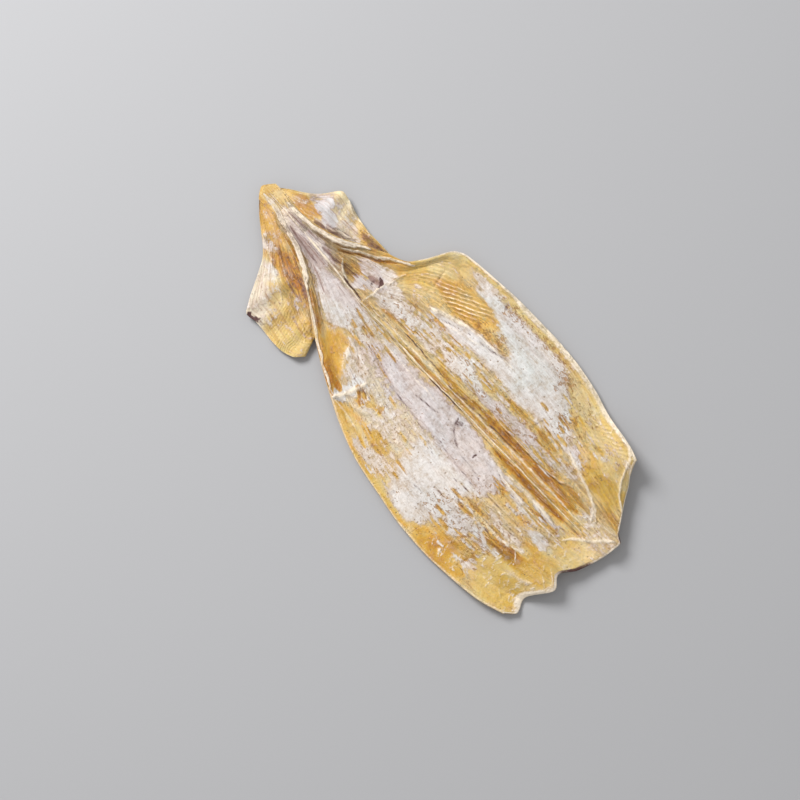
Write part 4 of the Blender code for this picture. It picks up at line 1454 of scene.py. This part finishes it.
def fleshMaterial(name, fibres, powder, bumpHeight):
    looks = fleshLooks
    material, tree, place, fibre = newMaterial(name, fibres)
    marks = {key: stored(tree, key) for key in markNames}
    signals = {key: fibre[key] for key in ("Mottle", "Grain", "Fleck")}
    fibrous = scaled(tree, marks["glassy"], looks["glassyFibres"], 1.0)
    for key in ("Streak", "Hair"):
        signals[key] = times(tree, fibre[key], fibrous)
    crackled = scaled(tree, marks["glassy"], looks["glassyCrackle"], 1.0)
    signals["Crackle"] = times(tree, fibre["Crackle"], crackled)
    twist = times(tree, signals["Crackle"], looks["ribTwist"])
    ribTurn = scaled(tree, marks["ribPhase"], 2 * math.pi, twist)
    signals["Rib"] = times(tree, calculate(tree, "SINE", ribTurn), marks["ribShare"])

    def mixed(start, layer):
        return addScaled(tree, start, signals, fleshMixes[layer])

    def layerShare(layer):
        start, end, strength = fleshLayers[layer]
        return times(tree, fade(tree, mixed(marks[layer], layer), start, end), strength)

    depth = mixed(marks["amber"], "amber")
    yellow, olive = (rampOf(tree, depth, fleshTones[ramp]) for ramp in ("ramp", "oliveRamp"))
    colour = blendColours(tree, marks["olive"], yellow, olive)
    powderInputs = {"Place": place, "Amount": marks["bloom"], "Lilac": marks["lilac"]}
    dusted = placeGroup(tree, powder, powderInputs | {key: fibre[key] for key in fibrePatterns})
    cover = dusted["Cover"]
    colour = blendColours(tree, times(tree, cover, looks["powder"]), colour, dusted["Colour"])

    # the layers over it: each one's share, and its tone
    bare = times(tree, scaled(tree, cover, looks["coveredThreads"], 1.0), fibrous)
    clear = times(tree, scaled(tree, cover, looks["coveredLines"], 1.0), fibrous)
    # dark lines between fibres, partly the flesh's brown and partly painted shade; the pale threads beside
    # them are a painted highlight
    lines = times(tree, times(tree, fibre["Line"], clear), looks["lines"])
    # the cut creases take the crease tone: painted shade in the creases, over the flesh's own brown
    creases = scaled(tree, marks["cut"], looks["creases"], lines)
    threadHighlights = times(tree, times(tree, fibre["ThreadHighlight"], bare), looks["threadHighlights"])
    plum, crumbs, light, dark = (layerShare(layer) for layer in fleshLayers)
    dark = times(tree, dark, fade(tree, marks["dark"], *looks["darkFrom"]))
    dots = addNode(tree, "TexVoronoi", {"Vector": place, "Scale": speckScale}).outputs
    chance = addNode(tree, "SeparateColor", {"Color": dots["Color"]}).outputs["Red"]
    specks = scaled(tree, signals["Crackle"], looks["speckTwist"], dots["Distance"])
    specks = fade(tree, specks, *looks["speckReach"])
    specks = times(tree, specks, fade(tree, chance, *looks["rareSpecks"]))
    for share, layerTone in (
        (creases, "crease"), (threadHighlights, "pale"), (plum, "plum"), (crumbs, "crumb"),
        (times(tree, specks, looks["specks"]), "speck"), (light, "pale"), (dark, "dark"),
    ):
        colour = blendColours(tree, share, colour, fleshTones[layerTone])
    calm = scaled(tree, cover, looks["coveredUneven"], 1.0)
    uneven = scaled(tree, mixed(0.0, "uneven"), calm, 1.0)
    colour = blendColours(tree, 1.0, colour, uneven, "MULTIPLY")

    signals.update({
        "Cover": cover, "Glassy": marks["glassy"], "Crumbs": crumbs, "Threads": threadHighlights, "Specks": specks,
        "Calm crackle": times(tree, signals["Crackle"], calm),
        "Bare hair": times(tree, signals["Hair"], bare), "Bare line": times(tree, fibre["Line"], bare),
    })
    tree.nodes["Principled BSDF"].inputs["IOR"].default_value = looks["refraction"]
    roughness, height = mixed(looks["roughness"], "roughness"), mixed(0.0, "height")
    return finishMaterial(material, colour, roughness, height, bumpHeight)


skinLooks = {
    "grey": (0.35, tone(196, 178, 166)),
    "purple": (0.5, tone(132, 98, 92)),
    "purpleFrom": (-0.3, 0.5),
    "dots": (0.6, tone(104, 70, 68)),
    "dotReach": (0.34, 0.12),
}


def skinMaterial(fibres):
    # the outer side, with the grey and purple mottle of the dried skin
    material, tree, place, fibre = newMaterial("fadedSkin", fibres)
    amber = scaled(tree, fibre["Streak"], 0.15, stored(tree, "amber"))
    mottled = fade(tree, fibre["Mottle"], *skinLooks["purpleFrom"])
    dots = addNode(tree, "TexVoronoi", {"Vector": place, "Scale": speckScale}).outputs["Distance"]
    dotted = fade(tree, dots, *skinLooks["dotReach"])
    colour = rampOf(tree, amber, fleshTones["ramp"])
    for mask, name in ((1.0, "grey"), (mottled, "purple"), (dotted, "dots")):
        strength, layerTone = skinLooks[name]
        colour = blendColours(tree, times(tree, mask, strength), colour, layerTone)
    height = scaled(tree, fibre["Hair"], 0.3, times(tree, fibre["Grain"], 0.15))
    return finishMaterial(material, colour, scaled(tree, fibre["Grain"], 0.05, 0.5), height, 0.5)


def rimMaterial(fibres):
    material, tree, place, fibre = newMaterial("cutRim", fibres)
    colour = rampOf(tree, scaled(tree, fibre["Mottle"], 0.2, 0.4), fleshTones["ramp"])
    colour = blendColours(tree, 0.45, colour, fleshTones["pale"])
    colour = blendColours(tree, fade(tree, stored(tree, "dark"), 0.2, 0.8), colour, fleshTones["dark"])
    return finishMaterial(material, colour, scaled(tree, fibre["Grain"], 0.05, 0.55), fibre["Grain"], 0.3)


studio = {
    "floorSize": 14.0,
    "floorTone": tone(178, 178, 180),
    "lookAt": (-0.0187, -0.0002, 0.005),
    "cameraOff": (-0.0982, -0.1025, 1.0101),  # seen from 82 degrees up, turned 43.75 degrees
    "lens": 85.7,
    "keyPlace": (0.02, 1.16, 1.0),
    "keySize": 0.7,
    "keyPower": 23,
    "worldLevel": 0.54,
}


def makeStudio():
    bpy.ops.object.select_all(action="DESELECT")
    bpy.ops.mesh.primitive_plane_add(size=studio["floorSize"])
    floor = bpy.context.object
    floor.name = "floor"
    material = bpy.data.materials.new("paleFloor")
    material.use_nodes = True
    shader = material.node_tree.nodes["Principled BSDF"]
    shader.inputs["Base Color"].default_value = studio["floorTone"]
    shader.inputs["Roughness"].default_value = 0.8
    floor.data.materials.append(material)

    world = bpy.data.worlds.new("softRoom")
    world.use_nodes = True
    background = world.node_tree.nodes["Background"]
    background.inputs["Color"].default_value = (1, 1, 1, 1)
    background.inputs["Strength"].default_value = studio["worldLevel"]
    bpy.context.scene.world = world

    target = Vector(studio["lookAt"])
    bpy.ops.object.light_add(type="AREA", location=studio["keyPlace"])
    key = bpy.context.object
    key.name = "key"
    key.data.shape = "DISK"
    key.data.size = studio["keySize"]
    key.data.energy = studio["keyPower"]
    key.rotation_euler = (target - Vector(studio["keyPlace"])).to_track_quat("-Z", "Y").to_euler()

    place = target + Vector(studio["cameraOff"])
    bpy.ops.object.camera_add(location=place)
    camera = bpy.context.object
    camera.data.lens = studio["lens"]
    camera.data.sensor_width = 36
    camera.data.clip_start = 0.01
    camera.rotation_euler = (target - place).to_track_quat("-Z", "Y").to_euler()
    bpy.context.scene.camera = camera
    bpy.context.scene.view_settings.view_transform = "Standard"
    print("studio ready")


fibres = fibreGroup()
powder = bloomGroup()
driedFlesh = fleshMaterial("driedFlesh", fibres, powder, 0.55)
finFlesh = fleshMaterial("finFlesh", fibres, powder, 0.5)
fadedSkin = skinMaterial(fibres)
cutRim = rimMaterial(fibres)
print("materials ready")

makeBody((driedFlesh, fadedSkin, cutRim))
makeFin("left", (finFlesh, fadedSkin, cutRim))
makeFin("right", (finFlesh, fadedSkin, cutRim))
makeStudio()
